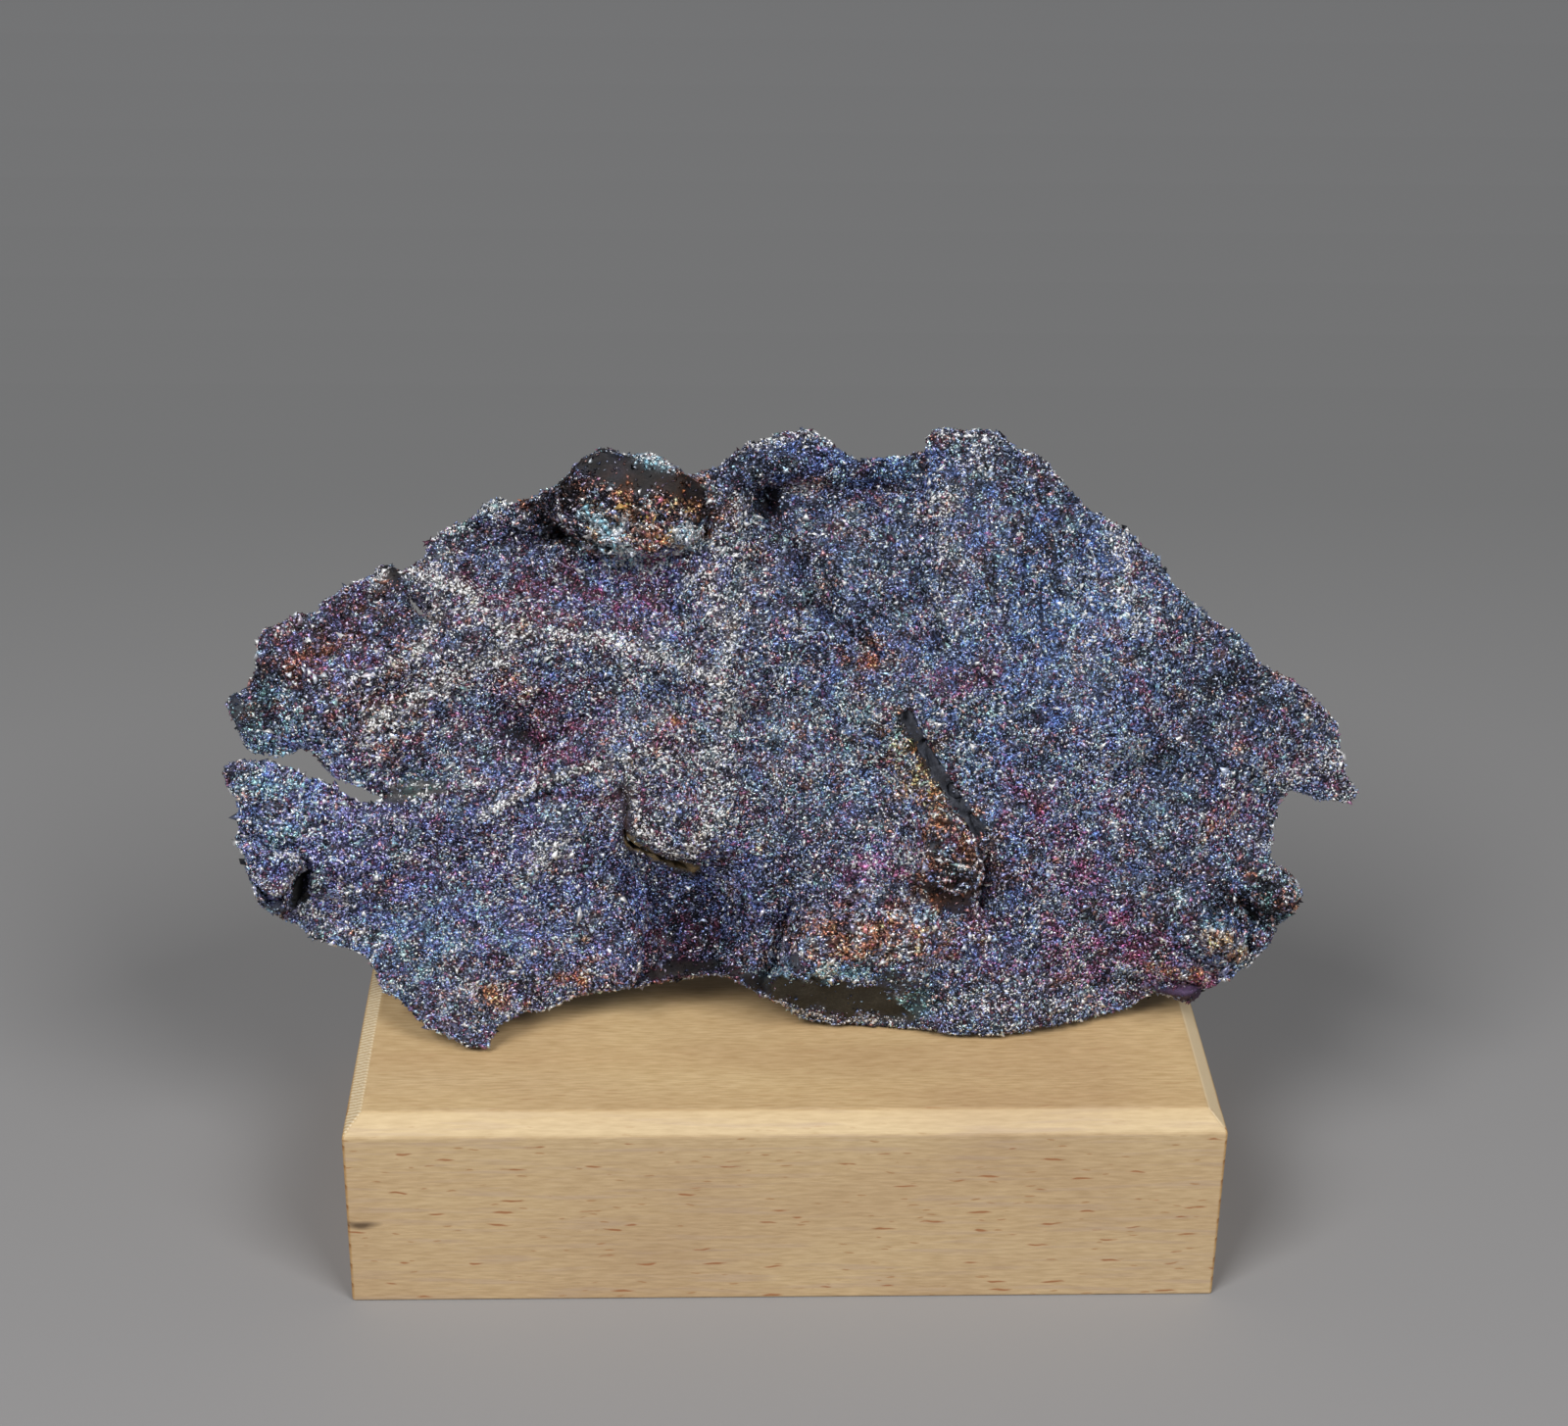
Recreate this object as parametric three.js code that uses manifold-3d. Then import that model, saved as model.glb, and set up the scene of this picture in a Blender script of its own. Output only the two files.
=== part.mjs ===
// A crumpled, crusted sheet of peacock ore that stands on a small softwood display block.
// Millimetres, +Z up. The origin is the centre of the block's underside, and the ore's face looks along -Y.

import * as THREE from "three";
import { ImprovedNoise } from "three/addons/math/ImprovedNoise.js";
import { mergeVertices } from "three/addons/utils/BufferGeometryUtils.js";
import Module from "manifold-3d";

// Display block: a 4 x 2 x 1 inch offcut with its four top edges chamfered.
const BLOCK_WIDTH = 101.6;
const BLOCK_DEPTH = 50.8;
const BLOCK_HEIGHT = 25.4;
const BLOCK_CHAMFER = 2.1;

// Ore: a sheet that leans back over the block. A place on it is [u, v]: u runs along X, and v up the leaning sheet
// from the foot line. Relief w swells from the sheet towards a focus far in front, so the sides fan out slightly.
const LEAN = THREE.MathUtils.degToRad(14);
const FOOT_LINE = new THREE.Vector3(0, -6, BLOCK_HEIGHT);
const RELIEF_FOCUS = new THREE.Vector3(-11.3, -293.5, 213.7);
const SEAT_GAP = 0.3;

const CELL = 3.05; // spacing of the sheet's facets
const RIM_THICKNESS = 1.4;
const CORE_THICKNESS = 4.0;
const RIM_WIDTH = 9; // how far in from the edge the sheet thickens
const SHEET_U = [-68, 70.5];
const SHEET_V = [-5, 74.5];
const PRISM_REACH = 40; // half the depth of the outline's prism, past any relief

// The outline, clockwise from the tear in the left side, one list for each stretch.
const TEAR_UPPER_EDGE = [
  [-45.5, 28.4], [-48.6, 29.1], [-49.9, 29.8], [-52.5, 31.0], [-54.1, 32.4], [-55.1, 34.0], [-56.3, 34.5],
  [-58.7, 33.6], [-60.4, 33.9], [-62.2, 34.1],
];
const UPPER_LEFT_LOBE = [
  [-63.2, 35.6], [-63.9, 37.4], [-65.0, 40.1], [-64.7, 41.1], [-62.5, 40.7], [-62.4, 41.9], [-61.4, 43.7],
  [-61.3, 46.5], [-60.4, 48.6], [-57.7, 49.5], [-55.9, 50.6], [-54.5, 50.2], [-52.3, 52.6], [-50.1, 53.9],
  [-46.9, 55.2], [-47.2, 55.9], [-46.5, 56.5], [-44.0, 55.2], [-41.6, 57.2], [-41.2, 58.5], [-39.8, 59.8],
  [-38.0, 61.0], [-35.9, 61.4], [-34.4, 63.5], [-33.0, 64.1], [-31.9, 63.5], [-30.1, 63.5], [-26.5, 65.0],
];
const BROW_EDGE = [
  [-23.6, 68.0], [-21.2, 69.6], [-18.3, 68.7], [-16.5, 69.0], [-14.8, 68.8], [-13.5, 67.7], [-11.1, 66.3],
];
const TOP_LIP_EDGE = [
  [-9.8, 67.0], [-7.0, 67.8], [-5.9, 68.9], [-4.3, 70.1], [-2.0, 70.6], [-0.2, 71.5], [2.0, 71.8], [3.8, 71.2],
  [5.0, 69.9], [8.1, 68.1], [11.6, 68.6], [13.1, 68.5], [14.9, 69.2], [15.9, 68.9],
];
const FAN_EDGE = [
  [16.1, 70.5], [16.6, 71.8], [18.1, 72.1], [19.9, 71.6], [23.4, 71.9], [24.9, 71.2], [26.4, 69.7], [28.7, 69.0],
  [30.4, 67.6], [32.1, 65.8], [33.9, 63.8], [34.5, 62.4], [35.9, 62.5], [37.6, 61.5], [39.5, 60.4], [41.6, 58.4],
  [43.6, 56.3], [45.3, 53.9], [47.0, 52.3], [51.1, 48.9], [53.1, 48.1], [54.7, 46.4], [55.9, 44.5], [59.7, 42.4],
  [61.4, 41.5], [62.8, 39.7], [64.6, 38.2], [65.6, 36.6], [65.9, 34.2], [66.2, 31.5],
];
const SPUR_AND_NOTCH = [
  [67.5, 30.1], [68.2, 28.8], [67.7, 27.8], [65.7, 27.7], [63.2, 28.1], [61.0, 29.5], [60.0, 29.4], [59.2, 28.4],
  [58.5, 26.8], [58.1, 22.8], [57.8, 22.1], [58.4, 20.1],
];
const FRILL_EDGE = [
  [59.4, 19.6], [60.6, 18.9], [61.5, 17.6], [61.7, 16.0], [61.1, 14.0], [58.9, 13.0], [58.4, 11.9], [58.8, 10.9],
  [57.0, 9.2], [56.7, 7.8], [55.1, 7.1], [54.1, 5.9], [50.5, 4.5], [50.2, 3.6], [48.5, 3.0], [44.9, 4.0],
];
const RIGHT_FOOT_EDGE = [
  [43.2, 3.5], [41.9, 2.4], [37.4, 0.9], [32.2, 0.0], [27.4, -1.0], [24.4, -1.2], [19.9, -1.1], [17.2, -0.4],
  [9.6, 0.1], [5.8, 0.4], [3.5, 0.9], [1.6, 1.4],
];
const ARCH_EDGE = [
  [-0.3, 2.9], [-2.2, 4.0], [-5.9, 6.0], [-7.8, 6.6], [-10.0, 6.6], [-13.7, 5.8], [-18.5, 4.8],
];
const LEFT_FOOT_EDGE = [
  [-21.1, 4.5], [-24.6, 3.9], [-29.2, 1.9], [-30.3, 2.6], [-33.4, 0.9], [-34.1, 0.0], [-35.4, -2.3], [-37.4, -2.6],
  [-40.2, -0.7], [-42.3, -0.2], [-43.9, 1.9], [-47.4, 4.7], [-48.3, 6.0], [-48.6, 7.7], [-49.9, 9.3],
];
const LOWER_LEFT_LOBE = [
  [-51.5, 10.1], [-55.4, 11.0], [-58.2, 13.5], [-60.1, 14.4], [-61.7, 15.6], [-62.7, 18.3], [-63.7, 22.0],
  [-64.9, 23.2], [-64.1, 24.4], [-64.1, 28.4], [-65.2, 29.7], [-65.7, 31.7], [-65.2, 32.5], [-63.9, 32.9],
  [-60.9, 32.8], [-57.3, 32.1],
];
const TEAR_LOWER_EDGE = [
  [-55.4, 30.8], [-54.3, 30.5], [-52.5, 29.5], [-51.4, 28.4], [-50.2, 27.8], [-47.5, 27.6],
];

// Openings right through the sheet: a bent crack left of the middle, and a small hole by the upper left shoulder.
const CRACK = [
  [-19.1, 29.8], [-18.6, 27.3], [-18.3, 25.0], [-18.1, 23.4], [-17.5, 22.7], [-14.8, 21.6], [-11.2, 20.1],
  [-9.8, 19.1], [-11.0, 19.1], [-14.5, 20.5], [-18.2, 21.9], [-19.1, 23.4], [-19.1, 27.0],
];
const SMALL_HOLE = [[-44.0, 52.5], [-42.6, 51.9], [-41.4, 50.2], [-42.0, 50.1], [-43.0, 51.2]];

// Broad swells and hollows that both faces of the sheet follow: centre, half sizes along u and v, and height.
const SWELLS = [
  { name: "left foot", at: [-37, -1], size: [15, 13], height: 5.4 },
  { name: "right foot", at: [25, -2], size: [22, 11], height: 1.5 },
  { name: "arch recess", at: [-10, 9], size: [9, 11], height: -6 },
  { name: "hollow below the crack", at: [-15, 17], size: [6, 5], height: -2.5 },
  { name: "fan dome", at: [31, 36], size: [25, 27], height: 6.5 },
  { name: "right rim", at: [64, 34], size: [11, 22], height: -5 },
  { name: "top rim", at: [12, 74], size: [34, 11], height: -4.5 },
  { name: "upper left lobe", at: [-54, 43], size: [10, 9], height: 4.5 },
  { name: "upper left shoulder", at: [-46, 57], size: [8, 6], height: -3.5 },
  { name: "lower left lobe", at: [-58, 23], size: [11, 9], height: 3.5 },
  { name: "purple hollow", at: [-30, 37.5], size: [8, 5], height: -3.6 },
  { name: "hollow under the brow", at: [-27, 55], size: [14, 6], height: -3 },
  { name: "frill", at: [54, 11], size: [9, 9], height: 2.2 },
];

// Masses with flat tops and steep sides that stand on the front face alone, with the same fields.
const MASSES = [
  { name: "brow", at: [-18.5, 64.0], size: [10, 6.4], height: 3.4 },
  { name: "top lip", at: [4.5, 70.5], size: [10, 4.6], height: 2.4 },
  { name: "fan's top corner", at: [20.5, 71.5], size: [5, 4.6], height: 1.8 },
  { name: "ledge", at: [10.4, 10.2], size: [10, 5], height: 2.8 },
  { name: "lump below the slit", at: [19.5, 21], size: [4.8, 6.4], height: 3.4 },
];

// How abruptly a swell and a mass end.
const SWELL_EDGE = 2;
const MASS_EDGE = 5;

// Ridges (height above 0) and creases (below 0) along a line of [u, v], with how far they reach to each side.
const FOLDS = [
  { name: "long ridge", height: 2.6, reach: 2.8,
    line: [[-42, 57], [-40, 52], [-33, 50], [-23, 47.5], [-15, 45.3], [-8, 42.2]] },
  { name: "spine", height: 3.2, reach: 3.1,
    line: [[-6, 65], [-7, 60], [-8.4, 53], [-8, 44], [-8.2, 33], [-8, 28], [-9.5, 22.5]] },
  { name: "spine's hook", height: 1.8, reach: 1.8, line: [[-9.5, 22.5], [-13, 22.8], [-17, 24.5]] },
  { name: "shoulder ridge", height: 1.9, reach: 2.2, line: [[-33, 50], [-38, 46], [-45, 44], [-53, 40.5]] },
  { name: "middle ridge", height: 2.2, reach: 2.2, line: [[-37, 25], [-31, 29], [-25, 32.2], [-19, 35]] },
  { name: "lower ridge", height: 2.0, reach: 2.2, line: [[-31, 19], [-27, 24], [-22, 29], [-20, 34]] },
  { name: "layered seam", height: -2.6, reach: 1.7, line: [[-48, 30], [-43, 31], [-38, 30.2]] },
  { name: "lobe crease", height: -2.0, reach: 1.7, line: [[-57, 16], [-50, 14.8], [-42, 14.2], [-34, 16]] },
  { name: "wing crease", height: -1.6, reach: 1.9, line: [[-46, 21], [-38, 20], [-31, 15], [-24, 13]] },
  { name: "wing's overlap", height: 2.4, reach: 2.0, line: [[-18.5, 5], [-18.6, 8.5], [-19, 12], [-22, 15]] },
  { name: "brow's upper valley", height: -2.0, reach: 2.2, line: [[-34, 58], [-29, 60], [-26.5, 62]] },
  { name: "rib in the recess", height: 2.8, reach: 2.1, line: [[-3, 18], [-4.2, 13], [-4, 8]] },
  { name: "crease by the ledge", height: -2.4, reach: 1.7, line: [[0.5, 16], [-0.5, 10], [-1, 5]] },
  { name: "pit's crease", height: -2.0, reach: 1.8, line: [[-2.5, 63.5], [0, 60], [2, 56], [3, 50]] },
  { name: "cross crease", height: -1.8, reach: 1.9, line: [[-4, 38.5], [1, 40.5], [6, 43.5], [10, 46.5], [14, 44]] },
  { name: "cross ridge", height: 1.3, reach: 1.9, line: [[-1, 38], [5, 41], [11, 42], [17, 41]] },
  { name: "lip valley", height: -2.0, reach: 2.0, line: [[-1, 65.5], [6, 64.8], [13, 65.4]] },
  { name: "first pleat", height: 2.2, reach: 2.6, line: [[18, 71], [18, 62], [19.5, 52], [21, 44]] },
  { name: "first pleat's valley", height: -1.7, reach: 2.4, line: [[13, 66], [13, 57], [14, 48]] },
  { name: "second pleat's valley", height: -2.4, reach: 2.8, line: [[28, 70], [31, 62], [32, 53], [31, 45]] },
  { name: "second pleat", height: 2.4, reach: 2.8, line: [[37, 61], [40, 54], [41, 46], [39, 36]] },
  { name: "third pleat's valley", height: -2.2, reach: 3.0, line: [[50, 49], [47, 41], [44, 31], [39, 23]] },
  { name: "third pleat", height: 1.8, reach: 2.4, line: [[59, 42], [55, 35], [50, 27], [44, 20]] },
  { name: "notch valley", height: -1.7, reach: 2.0, line: [[60, 31], [54, 24], [48, 17], [42, 13]] },
  { name: "spur ridge", height: 1.5, reach: 1.8, line: [[68, 29], [64, 31.5], [61, 36]] },
  { name: "slit's flank", height: 2.4, reach: 2.0, line: [[11.5, 38], [14.9, 31.5], [18.5, 25.5], [19.5, 21]] },
  { name: "foot pleat", height: 1.3, reach: 1.6, line: [[31, 0], [31.5, 5], [32, 9]] },
  { name: "second foot pleat", height: -1.2, reach: 1.6, line: [[36, 1], [36, 5], [37, 9]] },
];

// Ribs that stiffen the back, with the same fields.
const BACK_FOLDS = [
  { name: "rear rib of the fan", height: 3.2, reach: 4.5, line: [[14, 12], [24, 28], [36, 44], [42, 52]] },
  { name: "rear rib of the wing", height: 3.0, reach: 4.0, line: [[-6, 26], [-22, 27], [-38, 24], [-50, 20]] },
  { name: "rear rib of the brow", height: 2.6, reach: 3.6, line: [[-4, 34], [-12, 46], [-20, 58]] },
  { name: "rear crease", height: -1.0, reach: 3.0, line: [[2, 30], [8, 46], [10, 62]] },
];

// Rounded masses grown onto the face: centre, how far it stands out, half sizes, turn in degrees.
const LUMPS = [
  { name: "brow", at: [-17.8, 63.2], out: -0.4, size: [9.6, 5.6, 3.8], turn: -6 },
  { name: "brow's peak", at: [-22.0, 65.4], out: 0, size: [4.6, 5.0, 3.4], turn: 24 },
  { name: "brow's left shoulder", at: [-27.6, 63.0], out: -0.6, size: [4.2, 2.4, 2.2], turn: 35 },
  { name: "ledge", at: [11.0, 10.0], out: -0.5, size: [9.6, 4.6, 4.0], turn: 3 },
  { name: "ledge's nose", at: [4.2, 9.2], out: 0.2, size: [4.4, 3.8, 3.4], turn: 20 },
  { name: "slit's lump", at: [20.0, 20.8], out: -0.8, size: [3.3, 5.0, 2.8], turn: 12 },
  { name: "large frill knob", at: [57.2, 16.8], out: -0.5, size: [5.2, 3.3, 2.9], turn: -24 },
  { name: "middle frill knob", at: [53.0, 11.0], out: 0.1, size: [2.2, 3.6, 2.3], turn: -28 },
  { name: "outer frill knob", at: [57.0, 10.8], out: -0.6, size: [2.0, 3.2, 2.1], turn: -35 },
  { name: "low frill knob", at: [48.0, 5.1], out: -0.2, size: [3.3, 2.5, 2.5], turn: 8 },
  { name: "curled flap", at: [-60.2, 18.8], out: -0.4, size: [4.2, 4.8, 2.8], turn: -30 },
  { name: "curled tab", at: [-63.0, 37.8], out: 0, size: [1.7, 3.8, 1.8], turn: 12 },
];

// The knuckle behind the sheet that it leans on, and its root.
const REAR_FOOT = [
  { name: "rear foot", at: [8, 4.0], out: 2.4, size: [8.5, 5.2, 4.6], turn: 0 },
  { name: "rear foot's root", at: [10, 12], out: 0.4, size: [7.0, 8.0, 3.4], turn: -10 },
];

// Pits and slits cut into the face along a line of [u, v]: width, depth below the face, and how far the face
// stands out there over the bare sheet.
const PITS = [
  { name: "pit in the top lip", width: 3.6, depth: 1.7, out: 0.5, line: [[-3.6, 64.8], [-2.2, 62.4]] },
  { name: "gap beside the brow", width: 2.2, depth: 2.0, out: 0.6, line: [[-9.0, 61.8], [-9.7, 59.2]] },
  { name: "pit in the slit's lump", width: 3.0, depth: 2.0, out: 1.2, line: [[17.4, 17.0], [22.2, 16.8]] },
  { name: "upright crack", width: 1.1, depth: 2.2, out: 0.6, line: [[23.7, 19.4], [23.7, 15.2]] },
  { name: "slit", width: 1.6, depth: 2.3, out: 0.1,
    line: [[14, 39.5], [16.2, 35.3], [18.9, 30.9], [21.4, 27.0], [24.3, 22.8]] },
  { name: "layered slit", width: 1.4, depth: 0.9, out: 0.3, line: [[-46.8, 30.8], [-43.8, 31.6], [-40.6, 31.0]] },
  { name: "hollow of the curled flap", width: 2.4, depth: 2.0, out: 2.0, line: [[-56.6, 19.8], [-58.2, 15.4]] },
  { name: "large groove of the frill", width: 1.6, depth: 1.8, out: 0.4, line: [[51.2, 17.4], [54.6, 12.4]] },
  { name: "small groove of the frill", width: 1.5, depth: 1.6, out: 0.4, line: [[54.8, 14.8], [58.2, 12.2]] },
];
const PIT_OVERLAP = 1.35; // each pit's length over its stretch of the line

const LUMP_DETAIL = 2; // how finely a mass is divided into facets
const PIT_DETAIL = 1;
const LUMP_ROUGHNESS = 0.22; // share of its size
const CRUMPLES = [
  { length: 14, height: 2.2 },
  { length: 6.5, height: 1.2 },
];
const BACK_CRUMPLE = { length: 7, height: 1.2 };
const FACET_DRIFT = 0.9; // how far a facet's corner drifts from its even spacing

const wasm = await Module();
wasm.setup();
const noise = new ImprovedNoise();

const ORE_OUTLINE = [
  ...TEAR_UPPER_EDGE, ...UPPER_LEFT_LOBE, ...BROW_EDGE, ...TOP_LIP_EDGE, ...FAN_EDGE, ...SPUR_AND_NOTCH,
  ...FRILL_EDGE, ...RIGHT_FOOT_EDGE, ...ARCH_EDGE, ...LEFT_FOOT_EDGE, ...LOWER_LEFT_LOBE, ...TEAR_LOWER_EDGE,
];

// Solids and meshes: manifold-3d only joins and cuts what the geometry classes make.
function solidOf(geometry) {
  const bare = geometry.clone();
  bare.deleteAttribute("normal");
  bare.deleteAttribute("uv");
  const merged = mergeVertices(bare, 1e-4);
  return new wasm.Manifold(
    new wasm.Mesh({
      numProp: 3,
      vertProperties: new Float32Array(merged.attributes.position.array),
      triVerts: new Uint32Array(merged.index.array),
    }),
  );
}

function geometryOf(solid) {
  const mesh = solid.getMesh();
  const geometry = new THREE.BufferGeometry();
  geometry.setAttribute("position", new THREE.BufferAttribute(new Float32Array(mesh.vertProperties), 3));
  geometry.setIndex(new THREE.BufferAttribute(new Uint32Array(mesh.triVerts), 1));
  return geometry;
}

function moveVertices(geometry, move) {
  const position = geometry.attributes.position;
  const point = new THREE.Vector3();
  for (let i = 0; i < position.count; i += 1) {
    point.fromBufferAttribute(position, i);
    move(point);
    position.setXYZ(i, point.x, point.y, point.z);
  }
  return geometry;
}

// Distance from [u, v] to a line of points, closed or open.
function distanceToLine(u, v, line, closed) {
  const last = closed ? line.length : line.length - 1;
  let nearest = Infinity;
  for (let i = 0; i < last; i += 1) {
    const [startU, startV] = line[i];
    const [endU, endV] = line[(i + 1) % line.length];
    const alongU = endU - startU;
    const alongV = endV - startV;
    const share = ((u - startU) * alongU + (v - startV) * alongV) / (alongU * alongU + alongV * alongV);
    const t = THREE.MathUtils.clamp(share, 0, 1);
    nearest = Math.min(nearest, Math.hypot(u - startU - t * alongU, v - startV - t * alongV));
  }
  return nearest;
}

function crumple(u, v, { length, height }, layer) {
  return height * noise.noise(u / length, v / length, layer);
}

function foldRelief(u, v, folds) {
  let relief = 0;
  for (const { line, height, reach } of folds) {
    relief += height * Math.exp(-((distanceToLine(u, v, line, false) / reach) ** 2));
  }
  return relief;
}

function swellRelief(u, v, swells, edge) {
  let relief = 0;
  for (const { at, size, height } of swells) {
    const away = Math.hypot((u - at[0]) / size[0], (v - at[1]) / size[1]);
    relief += height * Math.exp(-(away ** edge));
  }
  return relief;
}

// How far the middle of the sheet stands out at [u, v].
function middleRelief(u, v) {
  let relief = foldRelief(u, v, FOLDS) + swellRelief(u, v, SWELLS, SWELL_EDGE);
  CRUMPLES.forEach((size, layer) => {
    relief += crumple(u, v, size, layer + 0.5);
  });
  return relief;
}

// How thick the sheet is at [u, v], as a share from 0 at the edge to 1 inside.
function fullness(u, v) {
  return THREE.MathUtils.smoothstep(distanceToLine(u, v, ORE_OUTLINE, true), 0, RIM_WIDTH);
}

function frontRelief(u, v) {
  const masses = swellRelief(u, v, MASSES, MASS_EDGE);
  return middleRelief(u, v) + THREE.MathUtils.lerp(RIM_THICKNESS, CORE_THICKNESS, fullness(u, v)) / 2 + masses;
}

function backRelief(u, v) {
  const full = fullness(u, v);
  const ribs = full * (foldRelief(u, v, BACK_FOLDS) + Math.abs(crumple(u, v, BACK_CRUMPLE, 9.5)));
  return middleRelief(u, v) - THREE.MathUtils.lerp(RIM_THICKNESS, CORE_THICKNESS, full) / 2 - ribs;
}

// From [u, v, w] to the part's own frame.
function standUp(point) {
  const { x: u, y: v, z: w } = point;
  const onSheet = FOOT_LINE.clone().add(new THREE.Vector3(u, v * Math.sin(LEAN), v * Math.cos(LEAN)));
  const outwards = RELIEF_FOCUS.clone().sub(onSheet).normalize();
  point.copy(onSheet).addScaledVector(outwards, w);
}

// The sheet's facets, uneven in size, over more than the outline.
function sheetSolid() {
  const width = SHEET_U[1] - SHEET_U[0];
  const height = SHEET_V[1] - SHEET_V[0];
  const sheet = new THREE.BoxGeometry(width, height, 2, Math.round(width / CELL), Math.round(height / CELL), 1);
  sheet.translate((SHEET_U[0] + SHEET_U[1]) / 2, (SHEET_V[0] + SHEET_V[1]) / 2, 0);
  moveVertices(sheet, (point) => {
    const relief = point.z > 0 ? frontRelief : backRelief;
    const { x: u, y: v } = point;
    point.x = u + FACET_DRIFT * noise.noise(u * 1.3, v * 1.3, 4.5);
    point.y = v + FACET_DRIFT * noise.noise(u * 1.3, v * 1.3, 7.5);
    point.z = relief(point.x, point.y);
  });
  return solidOf(sheet);
}

function pointsOf(line) {
  return line.map(([u, v]) => new THREE.Vector2(u, v));
}

function outlineSolid() {
  const outline = new THREE.Shape(pointsOf(ORE_OUTLINE));
  for (const opening of [CRACK, SMALL_HOLE]) {
    outline.holes.push(new THREE.Path(pointsOf(opening).reverse())); // openings wind against the outline
  }
  const prism = new THREE.ExtrudeGeometry(outline, { depth: 2 * PRISM_REACH, bevelEnabled: false });
  prism.translate(0, 0, -PRISM_REACH);
  return solidOf(prism);
}

// A rough, rounded mass with its centre at height w over [u, v].
function lumpSolid(at, w, size, turn, detail) {
  const lump = new THREE.IcosahedronGeometry(1, detail);
  moveVertices(lump, (point) => {
    const swell = noise.noise(point.x * 1.7 + at[0], point.y * 1.7 + at[1], point.z * 1.7);
    point.multiplyScalar(1 + LUMP_ROUGHNESS * swell);
  });
  lump.scale(...size);
  lump.rotateZ(turn);
  lump.translate(at[0], at[1], w);
  return solidOf(lump);
}

// One long, narrow mass for each stretch of a pit's line.
function pitSolids({ line, width, depth, out }) {
  return line.slice(1).map(([endU, endV], i) => {
    const [startU, startV] = line[i];
    const middle = [(startU + endU) / 2, (startV + endV) / 2];
    const halfLength = (PIT_OVERLAP * Math.hypot(endU - startU, endV - startV)) / 2;
    const turn = Math.atan2(endV - startV, endU - startU);
    const w = frontRelief(...middle) + out;
    return lumpSolid(middle, w, [halfLength, width / 2, depth], turn, PIT_DETAIL);
  });
}

function blockTopSolid() {
  const depthBelow = 20;
  const slab = new THREE.BoxGeometry(2 * BLOCK_WIDTH, 2 * BLOCK_DEPTH, depthBelow);
  slab.translate(0, 0, BLOCK_HEIGHT + SEAT_GAP - depthBelow / 2);
  return solidOf(slab);
}

function makeOre() {
  let ore = sheetSolid();
  for (const { at, out, size, turn } of LUMPS) {
    const w = frontRelief(...at) + out;
    ore = ore.add(lumpSolid(at, w, size, THREE.MathUtils.degToRad(turn), LUMP_DETAIL));
  }
  for (const { at, out, size, turn } of REAR_FOOT) {
    const w = backRelief(...at) - out;
    ore = ore.add(lumpSolid(at, w, size, THREE.MathUtils.degToRad(turn), LUMP_DETAIL));
  }
  for (const pit of PITS.flatMap(pitSolids)) {
    ore = ore.subtract(pit);
  }
  ore = ore.intersect(outlineSolid());
  const standing = moveVertices(geometryOf(ore), standUp);
  return geometryOf(solidOf(standing).subtract(blockTopSolid())).toNonIndexed();
}

// The block: a box whose top ring of corners is drawn in by the chamfer.
function makeBlock() {
  const block = new THREE.BoxGeometry(BLOCK_WIDTH, BLOCK_DEPTH, BLOCK_HEIGHT, 1, 1, 2);
  moveVertices(block, (point) => {
    if (point.z === 0) {
      point.z = BLOCK_HEIGHT / 2 - BLOCK_CHAMFER;
    } else if (point.z > 0) {
      point.x -= Math.sign(point.x) * BLOCK_CHAMFER;
      point.y -= Math.sign(point.y) * BLOCK_CHAMFER;
    }
  });
  block.translate(0, 0, BLOCK_HEIGHT / 2);
  block.computeVertexNormals();
  return block;
}

const oreMaterial = new THREE.MeshStandardMaterial({
  color: 0x4a5168,
  roughness: 0.45,
  metalness: 0.6,
  flatShading: true,
});
const woodMaterial = new THREE.MeshStandardMaterial({ color: 0xd0ab78, roughness: 0.6, metalness: 0 });

const group = new THREE.Group();

const ore = new THREE.Mesh(makeOre(), oreMaterial);
ore.name = "peacock_ore";
group.add(ore);

const block = new THREE.Mesh(makeBlock(), woodMaterial);
block.name = "display_block";
group.add(block);

export default group;
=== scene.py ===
import math

import bmesh
import bpy
import numpy as np
from mathutils import Matrix, Vector, noise


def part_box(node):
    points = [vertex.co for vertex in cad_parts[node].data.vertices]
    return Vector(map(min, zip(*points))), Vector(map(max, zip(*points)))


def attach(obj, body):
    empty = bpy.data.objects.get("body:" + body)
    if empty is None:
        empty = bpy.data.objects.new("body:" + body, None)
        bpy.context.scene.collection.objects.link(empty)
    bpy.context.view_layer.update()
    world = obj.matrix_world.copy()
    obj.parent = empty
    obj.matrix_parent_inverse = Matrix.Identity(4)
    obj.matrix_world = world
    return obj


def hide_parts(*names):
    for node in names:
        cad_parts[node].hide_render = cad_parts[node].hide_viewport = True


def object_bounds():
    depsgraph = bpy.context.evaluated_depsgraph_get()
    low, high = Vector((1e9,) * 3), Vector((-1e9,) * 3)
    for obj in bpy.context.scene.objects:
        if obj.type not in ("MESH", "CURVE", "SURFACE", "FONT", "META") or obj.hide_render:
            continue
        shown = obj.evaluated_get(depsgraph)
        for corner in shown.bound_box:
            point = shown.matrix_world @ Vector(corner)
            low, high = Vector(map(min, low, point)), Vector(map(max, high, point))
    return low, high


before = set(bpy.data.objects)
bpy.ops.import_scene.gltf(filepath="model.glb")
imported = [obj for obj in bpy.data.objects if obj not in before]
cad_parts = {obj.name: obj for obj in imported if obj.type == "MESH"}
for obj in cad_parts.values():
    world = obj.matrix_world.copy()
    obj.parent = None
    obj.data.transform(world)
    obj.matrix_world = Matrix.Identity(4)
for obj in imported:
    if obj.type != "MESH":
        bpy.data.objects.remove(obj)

cad_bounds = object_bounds()


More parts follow.
